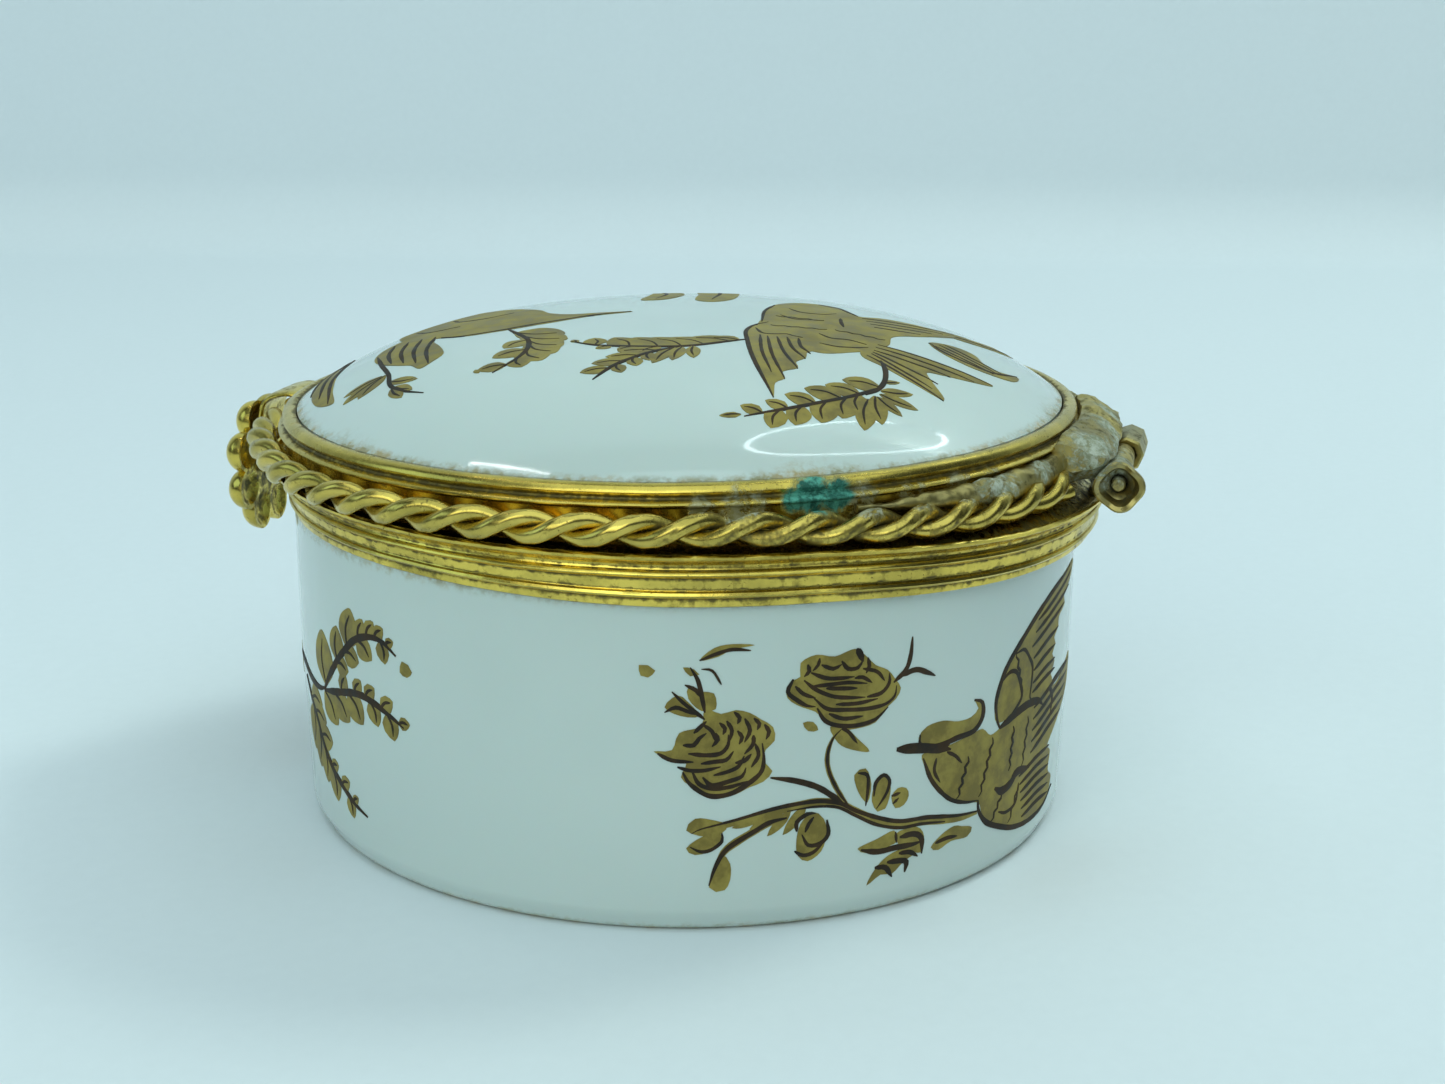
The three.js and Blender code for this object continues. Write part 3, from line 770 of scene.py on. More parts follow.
class Pen:
    """Collects shapes and lines in a surface's own flat millimetres. Points are given as x, y, x, y
    and so on, and shift moves what is drawn next sideways."""

    def __init__(self, weight):
        self.shapes, self.washes, self.lines, self.shift, self.weight = [], [], [], 0, weight

    def pairs(self, flat):
        """Points from a flat list of numbers, moved by the shift."""
        return [Vector((flat[i] + self.shift, flat[i + 1])) for i in range(0, len(flat), 2)]

    def fill(self, *flat):
        """A flat shape of gold."""
        self.shapes.append(spline(self.pairs(flat), closed=True, step=0.35))

    def line(self, width, *flat):
        """A brown brush line."""
        points = spline(self.pairs(flat), step=0.22)
        self.lines.append((points, 0.05 + width * self.weight))

    def wash(self, width, *flat):
        """A broad stroke of gold."""
        self.washes.append((spline(self.pairs(flat), step=0.3), width))

    def scallop(self, count, x, y, to_x, to_y, depth=0.2):
        """A wavy feather edge between two points."""
        root, tip = Vector((x, y)), Vector((to_x, to_y))
        step = (tip - root) / count
        side = Vector((-step.y, step.x)).normalized() * depth
        flat = []
        for i in range(count):
            flat += [*(root + step * i), *(root + step * (i + 0.5) + side)]
        self.line(0.17, *flat, *tip)

    def leaf(self, x, y, to_x, to_y, fat=0.34, vein=0.16):
        """A pointed leaf with a dark vein along most of it."""
        root, tip = Vector((x, y)), Vector((to_x, to_y))
        along = tip - root
        across = Vector((-along.y, along.x)) * fat
        spots = ((0.0, 0.08), (0.3, 0.5), (0.65, 0.48), (0.92, 0.22), (1.02, 0), (0.85, -0.26), (0.6, -0.46),
                 (0.3, -0.48), (0.02, -0.1))
        self.fill(*[c for a, b in spots for c in root + along * a + across * b])
        if vein:
            sag = across * 0.14
            self.line(vein, *root, *(root + along * 0.45 + sag), *(root + along * 0.85))

    def fern(self, spine, tips, width=0.3, fat=0.34):
        """A stem with leaves that spring from it and end at the tips."""
        self.line(width, *spine)
        path = spline([Vector((spine[i], spine[i + 1])) for i in range(0, len(spine), 2)], step=0.1)
        for i in range(0, len(tips), 2):
            tip = Vector((tips[i], tips[i + 1]))
            nearest = min(range(len(path)), key=lambda k: (path[k] - tip).length)
            back = round((path[nearest] - tip).length * 0.9 / 0.1)
            root = path[max(0, nearest - back)]
            self.leaf(*root, *tip, fat)

    def comb(self, count, width, *flat):
        """Feather lines fanned from between the first two points to between the last two."""
        a, b, c, d = (Vector((flat[i], flat[i + 1])) for i in range(0, 8, 2))
        for i in range(count):
            t = i / max(1, count - 1)
            root, tip = a.lerp(b, t), c.lerp(d, t)
            bow = Vector((-(tip - root).y, (tip - root).x)) * 0.05
            self.line(width, *root, *((root + tip) / 2 + bow), *tip)


def shell(outline, surface, height):
    """A thin closed plate over a flat outline, bent to the surface."""
    flat = bmesh.new()
    face = flat.faces.new([flat.verts.new((p.x, p.y, 0)) for p in outline])
    face.normal_update()
    bmesh.ops.triangulate(flat, faces=flat.faces[:])
    for axis in (0, 1):
        low = min(p[axis] for p in outline)
        high = max(p[axis] for p in outline)
        cut = (math.floor(low / CELL) + 1) * CELL
        while cut < high:
            spot, way = [0, 0, 0], [0, 0, 0]
            spot[axis], way[axis] = cut, 1
            geometry = flat.verts[:] + flat.edges[:] + flat.faces[:]
            bmesh.ops.bisect_plane(flat, geom=geometry, plane_co=spot, plane_no=way, dist=0.001)
            cut += CELL
    flat.verts.index_update()
    flat.verts.ensure_lookup_table()
    verts = []
    for lift in (height, -SUNK):
        for v in flat.verts:
            point, out = surface(v.co.x, v.co.y)
            verts.append(point + out * lift)
    n = len(flat.verts)
    faces = []
    for f in flat.faces:
        loop = [v.index for v in f.verts]
        if f.normal.z < 0:
            loop.reverse()
        faces.append(loop)
        faces.append([n + i for i in reversed(loop)])
        for i, j in zip(loop, loop[1:] + loop[:1]):
            edge = flat.edges.get((flat.verts[i], flat.verts[j]))
            if len(edge.link_faces) == 1:
                faces.append([j, i, n + i, n + j])
    flat.free()
    return verts, faces


def stroke(points, width, surface, height):
    """A brush line that starts blunt, swells and thins out at its end."""
    rings = []
    last = len(points) - 1
    for i, p in enumerate(points):
        way = (points[min(i + 1, last)] - points[max(i - 1, 0)]).normalized()
        across = Vector((-way.y, way.x))
        t = i / last
        swell = 0.35 + 0.65 * min(1, t * 6) if t < 0.6 else max(0.22, 1 - ((t - 0.6) / 0.4) ** 2 * 0.8)
        half = width / 2 * swell * (1 + 0.14 * wobble(p.x, p.y, 3.1, 1.9))
        ring = []
        for side, lift in ((-1, -SUNK), (-0.9, height * 0.72), (0, height), (0.9, height * 0.72), (1, -SUNK)):
            spot = p + across * half * side
            point, out = surface(*spot)
            ring.append(point + out * lift)
        rings.append(ring)
    return sweep(rings)


def lay_paint(pen, surface, name, body, place):
    """Builds what a pen drew: one piece for the gold and one for the lines over it."""
    layers = (("gold", ochre, [shell(outline, surface, FILL_HEIGHT + 0.0004 * (i % 12))
                               for i, outline in enumerate(pen.shapes)]
               + [stroke(points, width, surface, FILL_HEIGHT) for points, width in pen.washes]),
              ("lines", umber, [stroke(points, width, surface, LINE_HEIGHT + 0.0004 * (i % 15))
                                for i, (points, width) in enumerate(pen.lines)]))
    for label, material, parts in layers:
        verts, faces = [], []
        for part_verts, part_faces in parts:
            faces += [[len(verts) + i for i in face] for face in part_faces]
            verts += part_verts
        build(f"painted_{label}_{name}", verts, faces, material, body, place, sharp=60)


def low_rose(pen):
    """The left-hand bloom, with the sprig above it."""
    pen.fill(7.1, 13.6, 8, 13.3, 8.8, 13.5, 9.6, 13.3, 10.2, 12.9, 10.9, 12.4, 11, 11.6, 10.5, 11.1, 10.4,
             10.4, 10.9, 9.8, 10.4, 9.2, 9.6, 8.9, 8.8, 8.5, 7.8, 8.3, 6.9, 8.7, 6.3, 9.1, 5.8, 9.6, 6.1,
             10.5, 5.2, 10.7, 4.3, 11.1, 5.3, 11.2, 5.7, 12.2, 6.9, 12.6)
    pen.line(0.2, 4.5, 11.0, 5.3, 10.6, 6.5, 10.5)
    pen.line(0.2, 5.9, 11.5, 6.5, 11.5, 6.8, 11.9, 7.2, 12.2)
    pen.line(0.2, 6.2, 11, 7.2, 10.9, 8, 11, 8.4, 11.5, 8.4, 12.1)
    pen.line(0.2, 6.9, 10.4, 7.6, 10.5, 8.3, 10.6, 8.7, 11.1)
    pen.line(0.24, 5.9, 9.9, 6.3, 9.2, 7.3, 8.5, 8.3, 8.5, 9.2, 8.9, 10.2, 9.7, 10.4, 10.5, 10.3, 11.5)
    pen.line(0.22, 7, 9.6, 7.5, 9.1, 8.4, 9.3, 9.2, 9.6, 9.4, 10.1)
    pen.line(0.2, 6.4, 10.0, 6.8, 9.2, 7.6, 8.9, 8.6, 9.0, 9.6, 9.3)
    pen.line(0.2, 8.8, 10.4, 9.3, 10.5, 9.7, 10.9)
    pen.line(0.18, 5.6, 10.2, 6.3, 10, 7.1, 10, 8, 10.2)
    pen.line(0.18, 7.6, 9.7, 8.4, 9.9, 9, 10.2, 9.3, 10.8)
    pen.line(0.18, 7, 12.7, 7.5, 12.3, 7.7, 11.7)
    pen.line(0.18, 8.3, 12.9, 8.6, 12.3, 8.4, 11.6)
    pen.line(0.18, 9.3, 13, 9.6, 12.3, 9.3, 11.6)
    pen.line(0.18, 9.9, 11.5, 10.1, 10.8, 9.7, 10.1)
    pen.line(0.18, 6.5, 12.2, 6.8, 12.5, 7.2, 12.9)
    for x, y, to_x, to_y in ((8.7, 13.4, 8.9, 12.7), (9.8, 13.0, 10, 12.3), (10.4, 12.6, 10.5, 11.7),
                             (7.9, 12.8, 8.1, 12.1), (8.9, 12.3, 9, 11.5), (9.8, 12, 9.3, 10.9),
                             (7.7, 12.2, 7.5, 11.4)):
        pen.line(0.19, x, y, (x + to_x) / 2 + 0.22, (y + to_y) / 2, to_x, to_y)
    pen.fill(6.2, 14.9, 6.9, 14.6, 7.6, 14.5, 7.7, 13.6, 6.9, 13.5, 6.2, 14.2)
    pen.fill(6.8, 16.4, 7.6, 17.1, 8.6, 17.3, 9.8, 17.2, 8.6, 17, 7.8, 16.6)
    pen.fill(5.9, 16, 6.5, 15.9, 6.8, 15.6, 6.3, 15.5)
    pen.fill(4.9, 13.7, 5.6, 14.4, 6.2, 14, 6.8, 13.2, 5.8, 13.2)
    pen.line(0.2, 7.1, 13.4, 6.9, 14.5, 6.7, 15.3, 6.3, 16)
    pen.line(0.18, 6.9, 14.3, 6.6, 14.7, 6, 15)
    pen.line(0.18, 7.1, 13, 6.5, 13.5, 5.9, 14, 5.3, 14.6)
    pen.line(0.18, 6.6, 13.3, 6.1, 13.5, 5.5, 13.7, 4.9, 13.4)
    pen.line(0.17, 6.8, 16.4, 7.8, 16.8, 8.6, 17, 9.6, 16.9)
    pen.line(0.1, 8, 15, 7.5, 15.8, 6.9, 15.9)


def high_rose(pen):
    """The right-hand bloom, with its twigs and the leaf below it."""
    pen.fill(12.4, 16, 13.3, 16.4, 14.4, 16.2, 15.6, 16.5, 16.3, 16, 16.9, 15.4, 17.7, 15, 18.2, 14.4, 18.6,
             13.8, 18.3, 13.2, 17.6, 12.7, 17, 12, 15.8, 11.8, 14.6, 11.9, 13.8, 12.6, 13.3, 13.1, 12.6,
             13.4, 11.9, 13.8, 11.6, 14.3, 11.9, 15, 12.4, 15.2)
    pen.line(0.2, 12, 15.1, 11.7, 14.4, 12.2, 13.9, 12.8, 13.5, 13.3, 13.4)
    pen.line(0.16, 13.5, 16.2, 13.4, 15.8, 13.1, 15.5)
    pen.line(0.2, 13, 15.4, 13.9, 15, 14.8, 14.9, 15.6, 14.9)
    pen.line(0.2, 12.6, 15, 13.3, 14.4, 14.3, 13.9, 15.3, 13.7, 16.3, 13.6)
    pen.line(0.2, 16.4, 13.6, 17.3, 13.7, 17.8, 14.2, 17.8, 14.8)
    pen.line(0.2, 13.2, 13.9, 14, 13.2, 15.2, 13, 16.5, 12.9, 17.6, 13, 18.2, 13.4, 18.3, 14)
    pen.line(0.22, 13.4, 13.3, 13.9, 12.5, 14.8, 12.1, 16, 12, 17, 12.2, 17.8, 12.8)
    pen.line(0.2, 14.8, 15.9, 15.2, 15.4, 15.8, 15.4, 16.1, 15.8)
    pen.line(0.34, 15.7, 16.5, 15.9, 16.2, 16.1, 15.7)
    pen.line(0.18, 16.4, 15.9, 16.5, 15.4, 16.3, 15)
    pen.line(0.18, 15.6, 14.8, 16.1, 14.8, 16.7, 14.4)
    pen.line(0.2, 13.9, 14.4, 14.8, 14.3, 15.8, 14.2)
    pen.line(0.2, 14.1, 12.9, 15, 12.5, 16.2, 12.5)
    pen.line(0.18, 13, 14.6, 14, 14.6, 15.2, 14.6, 16.4, 14.4)
    pen.line(0.18, 13.6, 15.8, 14.3, 15.5, 14.8, 15.7)
    pen.line(0.18, 14.5, 13.4, 15.8, 13.3, 17.1, 13.4)
    pen.line(0.18, 16.1, 15.3, 17, 15, 17.5, 14.4)
    pen.line(0.18, 12.1, 14.7, 12.6, 14.2, 13.3, 13.9)
    pen.line(0.18, 12.8, 15.9, 12.9, 15.5, 12.6, 15.2)
    pen.line(0.22, 18.1, 14.2, 18.9, 14.8, 19.2, 15.6, 19.3, 16.7)
    pen.line(0.26, 18.5, 14.5, 19.6, 14.7, 20.4, 14.4, 21, 14.1)
    pen.fill(14.2, 12.1, 15.2, 11.9, 15.9, 11.2, 16.7, 10.3, 15.5, 10.6, 14.7, 11.1)
    pen.line(0.17, 14.9, 11.9, 15.3, 11.7, 15.9, 10.9)
    pen.fill(12.6, 12.5, 13.2, 12.5, 13.5, 12, 12.9, 12)


def rose_stems(pen):
    """The branch that carries both blooms, with its buds and leaves."""
    pen.wash(0.6, 25.2, 4.6, 23.5, 4.7, 21, 5.2, 19, 5.4, 17.5, 5.9, 16, 6.7, 15, 7.3, 13.8, 7.6, 12.6, 7.6,
             11, 7.3, 9, 6.8, 7, 6.3)
    pen.line(0.2, 25.2, 4.7, 23.5, 4.9, 21, 5.4, 19, 5.6, 17.5, 6.1, 16, 6.8, 15, 7.4, 13.8, 7.7, 12.6, 7.7,
             11, 7.5, 9, 7, 7, 6.5, 6.4, 6.2)
    pen.line(0.16, 22.4, 4.8, 20.6, 5.1, 19, 5.2, 17.4, 5.7, 16, 6.5, 14.8, 7.2, 13.4, 7.4, 11.8, 7.3)
    pen.wash(0.4, 15.3, 7.2, 14.5, 7.9, 13.5, 8.6, 12.2, 9.1, 10.9, 9.4)
    pen.wash(0.34, 15.5, 7.2, 14.8, 8.2, 14.2, 9.5, 14.1, 10.5, 14.4, 11.4, 14.9, 11.9)
    pen.wash(0.5, 11.8, 6.9, 10.8, 6.7, 9.9, 6.2, 8.9, 5.6, 8.2, 5, 7.7, 4)
    pen.line(0.3, 15.3, 7.2, 14.5, 7.9, 13.5, 8.6, 12.2, 9.1, 10.8, 9.4)
    pen.line(0.14, 15.5, 7.2, 14.8, 8.2, 14.2, 9.5, 14.1, 10.5, 14.4, 11.4, 14.9, 11.9)
    pen.line(0.24, 11.8, 6.9, 10.8, 6.7, 9.9, 6.2, 8.9, 5.6, 8.2, 5, 7.7, 4, 7.4, 3)
    pen.fill(6.1, 6.4, 6.6, 7.1, 7.6, 7, 8.4, 6.7, 8.1, 6.2, 7.2, 6)
    pen.fill(6.1, 5.3, 7, 6, 8, 6.2, 8.1, 5.6, 7.4, 5.1, 6.6, 4.9)
    pen.line(0.17, 8.1, 6.2, 8.1, 5.7, 7.5, 5.2, 6.9, 5.1, 6.3, 5.4)
    pen.fill(7.4, 2.9, 7.6, 4, 8.1, 4.9, 8.6, 4.3, 8.6, 3.3, 8.3, 2.7, 7.8, 2.6)
    for x, y, to_x, to_y in ((11.6, 7.3, 9.7, 6.4), (12, 7.3, 10.7, 5.9), (10.6, 7.3, 8.7, 6.5),
                             (12.9, 7.5, 11.6, 5.9)):
        pen.leaf(x, y, to_x, to_y, 0.3, 0)
    pen.fill(12.4, 5.4, 12.6, 6.4, 13.3, 7.1, 14, 6.6, 14.2, 5.6, 13.9, 4.6, 13.1, 4.1, 12.5, 4.5)
    pen.line(0.2, 12.4, 6, 12.4, 6.6, 13, 7, 13.5, 7)
    pen.line(0.18, 12.9, 5.9, 13.1, 6.4, 13.4, 6.8)
    pen.line(0.2, 14.2, 6.5, 14.3, 5.6, 13.8, 5.1, 13.1, 5.1, 12.7, 5.8)
    pen.line(0.18, 12.3, 4.8, 12.8, 4.5, 13.4, 4.6, 14, 5.1)
    pen.fill(15.8, 9, 16.5, 9.3, 16.9, 8.3, 16.7, 7.2, 16.1, 7.9)
    pen.line(0.17, 16, 9.1, 16.6, 8.9, 16.7, 8.2, 16.6, 7)
    pen.fill(17.1, 8.1, 17.6, 8.8, 18.1, 8.4, 18.2, 7.5, 17.9, 6.6, 17.4, 6.5, 17, 7.2)
    pen.line(0.18, 17.1, 7.5, 17.2, 8.3, 17.7, 8.7, 18.1, 8.3, 18, 7.7, 17.7, 7.2, 17.3, 6.7)
    pen.fill(18.3, 7.2, 18.7, 7.7, 19.3, 7.6, 19.5, 7.1, 19.2, 6.6, 18.6, 6.5)
    pen.line(0.17, 18.3, 7.3, 18.9, 7.4)
    pen.line(0.17, 18.4, 6.8, 18.8, 7.1)
    pen.fill(16.2, 4.4, 17.5, 4.8, 18.6, 5.1, 18.9, 4.4, 17.8, 4.1, 16.9, 4)
    pen.fill(18.8, 4.9, 20.2, 5, 20.8, 4.3, 20.7, 3.3, 20, 3.5, 19, 4.1)
    pen.fill(16.9, 2, 17.8, 2.5, 18.6, 2.4, 19.4, 3, 20.3, 3.4, 19.3, 3.8, 18.3, 3.6, 17.5, 3)
    pen.line(0.3, 16.4, 4.3, 17.5, 4, 18.8, 4, 20, 3.95, 20.6, 4)
    pen.line(0.16, 18.7, 5, 18.8, 4.3)
    pen.line(0.32, 19, 4.6, 20, 4.6, 20.6, 4.2, 20.7, 3.2)
    pen.line(0.24, 19, 3.6, 19.8, 3.5, 20.4, 3.1)
    pen.line(0.3, 18.2, 3.2, 19.2, 3.1, 19.6, 2.9, 19.5, 2.3)
    pen.line(0.28, 17.4, 3, 18.1, 2.9, 18.6, 2.2)
    pen.fill(21.4, 3.4, 22.2, 4, 23.2, 4.3, 23.9, 4.1, 24.8, 3.8, 24.4, 3.3, 23, 3.4, 22, 3.1)
    pen.line(0.22, 21.7, 3.6, 22.6, 3.7, 23.5, 3.6)
    pen.fill(3.5, 16.1, 4, 16.1, 4.4, 15.8, 4, 15.4, 3.6, 15.5)


def wall_bird(pen):
    """The crested bird on the wall, its wings and tail spread towards the hinge."""
    pen.fill(20, 10.5, 20.6, 11.1, 21.8, 11.2, 23, 10.9, 24.1, 10.9, 24.7, 11.3, 24.3, 11.9, 25, 11.7, 25.1,
             10.8, 24.5, 10.1, 23.4, 9.9, 22, 9.7, 20.7, 9.9)
    pen.fill(20.3, 9.4, 20.9, 8.1, 21.7, 6.9, 22.8, 6.0, 24.2, 5.5, 25.3, 5.2, 25.7, 4.4, 26.6, 3.5, 28,
             2.8, 30, 2.3, 32.5, 2.1, 34.8, 2.5, 35.6, 3.6, 34.6, 4.4, 34.8, 5.6, 34, 6.2, 35.4, 7, 37.5,
             7.9, 39.8, 8.8, 39.8, 10.6, 37, 10.4, 35, 10, 33, 10.3, 31, 10.1, 28.6, 10.2, 27, 9.5, 26, 9.3,
             25.2, 9.9, 24.2, 9.8, 22.6, 9.6, 21.4, 9.5)
    pen.fill(26.6, 9.9, 26.4, 11.4, 27.1, 13, 28.5, 14.3, 30.4, 15.5, 32.6, 16.4, 35.4, 16.9, 38.8, 17,
             37.4, 16, 35.6, 15.6, 36, 14.9, 34.6, 14.4, 34.6, 13.8, 33.8, 13.3, 34.2, 12.8, 33.6, 12.3,
             34.2, 11.7, 33.6, 11, 34, 10.4, 32, 10, 29, 10.1)
    pen.line(0.3, 24.3, 11.9, 25, 11.6, 25.1, 10.7, 24.4, 10, 23, 9.9, 21.5, 9.75, 20.2, 10.1, 20.1, 10.7)
    pen.line(0.55, 18.5, 10.1, 20, 9.9, 21.4, 9.6, 22.5, 9.3)
    pen.line(0.45, 20.4, 9.8, 21.6, 9.5, 22.4, 9.7)
    pen.line(0.18, 22.2, 9.2, 22.9, 8.8, 23.5, 8.2)
    pen.line(0.3, 26.9, 9.5, 26.5, 10.3, 26.4, 11.5, 27.2, 13.1, 28.6, 14.3, 30.8, 15.6, 33.5, 16.5, 37.2, 17)
    pen.line(0.24, 26.8, 12.4, 27.6, 12.8, 28.4, 12.6, 28.9, 11.8, 29.2, 10.9, 28.6, 10.3, 27.3, 9.6)
    pen.line(0.2, 28.3, 13.8, 29.2, 13.8, 30, 13, 30.4, 12.4, 30.4, 11.4, 30.3, 10.5, 30.8, 10.2)
    pen.line(0.5, 26.9, 9.5, 28.4, 9.9, 30, 10.1, 31.6, 9.9, 32.4, 9.4)
    for x, y, to_x, to_y in ((30.6, 10.7, 34.3, 11.2), (30.6, 11.3, 34.2, 11.9), (30.6, 12.1, 34.1, 12.8),
                             (30.5, 12.9, 34.6, 13.8), (30.2, 13.7, 35.8, 15), (30.6, 14.5, 37, 15.8),
                             (30.9, 15.2, 38, 16.6)):
        pen.line(0.24, x, y, (x + to_x) / 2, (y + to_y) / 2 + 0.15, to_x, to_y)
    pen.scallop(4, 24, 8.5, 23.2, 6)
    pen.scallop(5, 26.2, 9.1, 25.2, 5.6)
    pen.scallop(4, 28.4, 9.2, 28.2, 6.4)
    pen.scallop(4, 30.2, 9.3, 29.8, 6.2)
    pen.scallop(3, 29.6, 5.2, 28.6, 2.9)
    pen.scallop(3, 27.6, 5.2, 26.6, 3.6)
    pen.scallop(4, 29.3, 11.2, 28.3, 14)
    pen.line(0.18, 21.4, 9, 21.3, 8.2, 21.8, 7.4)
    pen.line(0.22, 20.4, 9.2, 21.2, 7.6, 22.6, 6.2, 24, 5.6, 25.2, 5.4)
    pen.line(0.3, 25.2, 5.4, 25.4, 4.6, 26.2, 3.7, 27.6, 3, 29.3, 2.4, 31.5, 2.1, 34, 2.2, 36, 2.9)
    pen.line(0.5, 26.8, 5.7, 27.6, 5.3, 28.6, 5.5, 29.3, 6, 31, 5.8)
    pen.line(0.18, 27.4, 4, 28.3, 3.7, 29.4, 4, 29.6, 5.2)
    pen.comb(6, 0.24, 29.6, 5.6, 30.4, 2.7, 34.4, 6.1, 34.9, 2.8)
    pen.comb(5, 0.3, 31, 9.6, 31, 6.7, 39.2, 10.4, 36.8, 7.7)
    pen.line(0.34, 33.4, 10.3, 34.2, 9.4, 34.1, 8.2)


def ferns(pen):
    """Three fern sprays on one stem, with the wing tip above them."""
    pen.line(0.42, -29, 10.2, -26, 10.4, -23.5, 10, -21.8, 9.95, -20.6, 10.3)
    pen.fern((-20.8, 10.2, -19.8, 11.3, -18.4, 12.7, -17, 13.9, -16, 14.6, -14.6, 15.1, -13.3, 15.1, -12.1,
              14.5), (-20.7, 13.9, -18.4, 14.8, -16.5, 16.3, -15.2, 16, -14.1, 16.1, -13.2, 15.9, -12.3,
                      15.3, -17.1, 12.3, -15.8, 13.2, -14.4, 13.7, -13.1, 13.8), 0.4, 0.85)
    pen.fern((-20.8, 10.1, -19, 10.5, -17.5, 10.9, -16, 11.2, -14.5, 11.1, -13, 10.7, -11.7, 10.2),
             (-17.5, 12, -15.7, 12.1, -14.3, 12, -12.6, 11.6, -11.2, 10.5, -19, 8.4, -17.3, 9.1, -15.7, 9.4,
              -14.1, 9.7, -12.6, 9.2), 0.4, 0.85)
    pen.fern((-25.5, 9.6, -23, 7.8, -21.8, 6.4, -20.4, 5.2, -18.8, 4.4, -17.4, 3.8, -15.9, 3.4),
             (-21.6, 8.9, -21, 7.9, -20.1, 6.9, -19.4, 5.6, -17.9, 5, -16.9, 4.3, -24, 5.3, -22.8, 4.5,
              -21.4, 3.9, -19.8, 3.2, -17.6, 2.8), 0.4, 0.8)
    pen.fill(-11.8, 13.6, -11.6, 14.3, -11.1, 14.2, -10.8, 13.8, -11.2, 13.4)


def paint_bowl():
    """Blooms, bird and ferns as they show, and the same again round the back."""
    pen = Pen(1.15)
    for rose_shift, fern_shift in ((0, 0), (88.5, 80)):
        pen.shift = rose_shift
        for motif in (low_rose, high_rose, rose_stems, wall_bird):
            motif(pen)
        pen.shift = fern_shift
        ferns(pen)
    lay_paint(pen, on_bowl, "bowl", "base", LEVEL)


def near_bird(pen):
    """The bird at the hinge side of the lid. On the lid x runs to the hinge and y to +X."""
    pen.fill(5, -5.8, 6.3, -7.6, 8.2, -7.4, 9.8, -5.6, 10.9, -3.8, 12.5, -4.6, 15.5, -5, 17.6, -6.2, 16.8,
             -3.6, 15.4, -1, 13.9, 1.2, 14, 3.5, 13.4, 5.4, 12.3, 6.8, 10.8, 8, 9.4, 7.6, 7.6, 6.4, 6.4,
             4.6, 5.6, 2.4, 5.3, -0.5, 4.9, -3.2)
    pen.fill(5.5, 2.6, 5.35, 4.8, 5.9, 6.8, 6.5, 8.8, 7.2, 11, 8.2, 13.2, 9.3, 15.5, 9.1, 13.9, 9.5, 13.1,
             9.2, 12.2, 9.9, 11.3, 9.6, 10.4, 10, 9.4, 9.9, 8.2, 10.6, 7.4, 10.2, 5.6, 8.8, 4.4, 7.2, 3.6)
    pen.line(0.34, 6, 1.2, 5.4, 2.6, 5.35, 4.6, 5.9, 6.8, 6.8, 9.8, 7.9, 12.6, 9.35, 15.6)
    for x, y, to_x, to_y in ((6.9, 5.6, 9.5, 13.2), (7.5, 5.6, 9.9, 11.4), (8.1, 5.5, 10, 9.6),
                             (8.8, 5.5, 10.1, 8.5), (6.4, 5.4, 8.6, 12.6)):
        pen.line(0.26, x, y, (x + to_x) / 2 - 0.15, (y + to_y) / 2 + 0.3, to_x, to_y)
    pen.line(0.22, 5.7, 3.4, 6.4, 4.8, 7.2, 4.9, 7.9, 4.6, 8.3, 4.9, 9, 5.2)
    pen.line(0.2, 9.7, 3.6, 10.6, 4.4, 11.6, 4.2, 12.8, 4.6)
    pen.line(0.2, 10.2, 6, 11.2, 6.2, 12.2, 5.8, 13, 5.2)
    pen.scallop(4, 6.4, 2.2, 9.9, 2.2)
    pen.scallop(4, 10.4, 2, 13.6, 2.6)
    pen.scallop(3, 6, -1.2, 9.2, -0.6)
    pen.line(0.3, 10, -2, 10.3, -0.6, 10.7, 0.8)
    pen.line(0.26, 5, -5.6, 4.9, -3, 5.3, -0.4, 5.6, 1.2)
    pen.line(0.3, 7.6, -7.4, 9, -6.6, 10, -5, 10.8, -3.8)
    pen.line(0.2, 6.2, -4.4, 7.2, -3.2, 8.6, -3, 9.4, -3.8)
    pen.line(0.2, 6.2, -1.6, 7.4, -0.4, 8.8, -0.6)
    pen.comb(4, 0.3, 11.2, -3.2, 12.4, -0.6, 16.8, -5.4, 15.2, -1.4)
    pen.fill(15.8, -5.2, 17.8, -6.2, 18.9, -8.4, 18.6, -11.2, 17, -13.8, 14.4, -16.2, 11, -18.4, 9.5, -20.6,
             13, -19.2, 16.2, -16.8, 18.7, -14, 20, -11, 20.2, -8, 19, -5.4, 17.2, -4)
    pen.line(0.5, 17, -4.6, 19.2, -6.6, 19.8, -9.6, 19.2, -12.2, 17.4, -14.8, 14.8, -17, 12, -18.9)
    pen.fill(1.4, -21.2, 3.4, -22.9, 6.4, -22.6, 9.4, -21.2, 11.6, -18.8, 10, -17.4, 7.8, -18.4, 6.2, -16.4,
             5.2, -16.2, 4.2, -17.8, 2.4, -19.4)
    pen.comb(5, 0.3, 5.6, -16.6, 10.8, -18, 2.2, -20.8, 8.2, -21.8)
    pen.fill(13.2, 4, 15, 4.3, 17.5, 4.5, 20.4, 4.2, 19.2, 5.4, 17.6, 6.3, 16.8, 6.8, 17.3, 8, 18.2, 9.7,
             16, 9, 14.4, 8.1, 13, 7.2, 12.7, 5.6)
    for x, y, to_x, to_y in ((13.4, 4.1, 20.4, 4.3), (13.4, 4.8, 19.4, 5.2), (13.4, 5.5, 18.1, 6.1),
                             (13.4, 5.9, 17.6, 7.9), (13.4, 6.3, 17.4, 8.9), (13.2, 6.8, 18.2, 9.8)):
        pen.line(0.26, x, y, (x + to_x) / 2, (y + to_y) / 2 + 0.2, to_x, to_y)


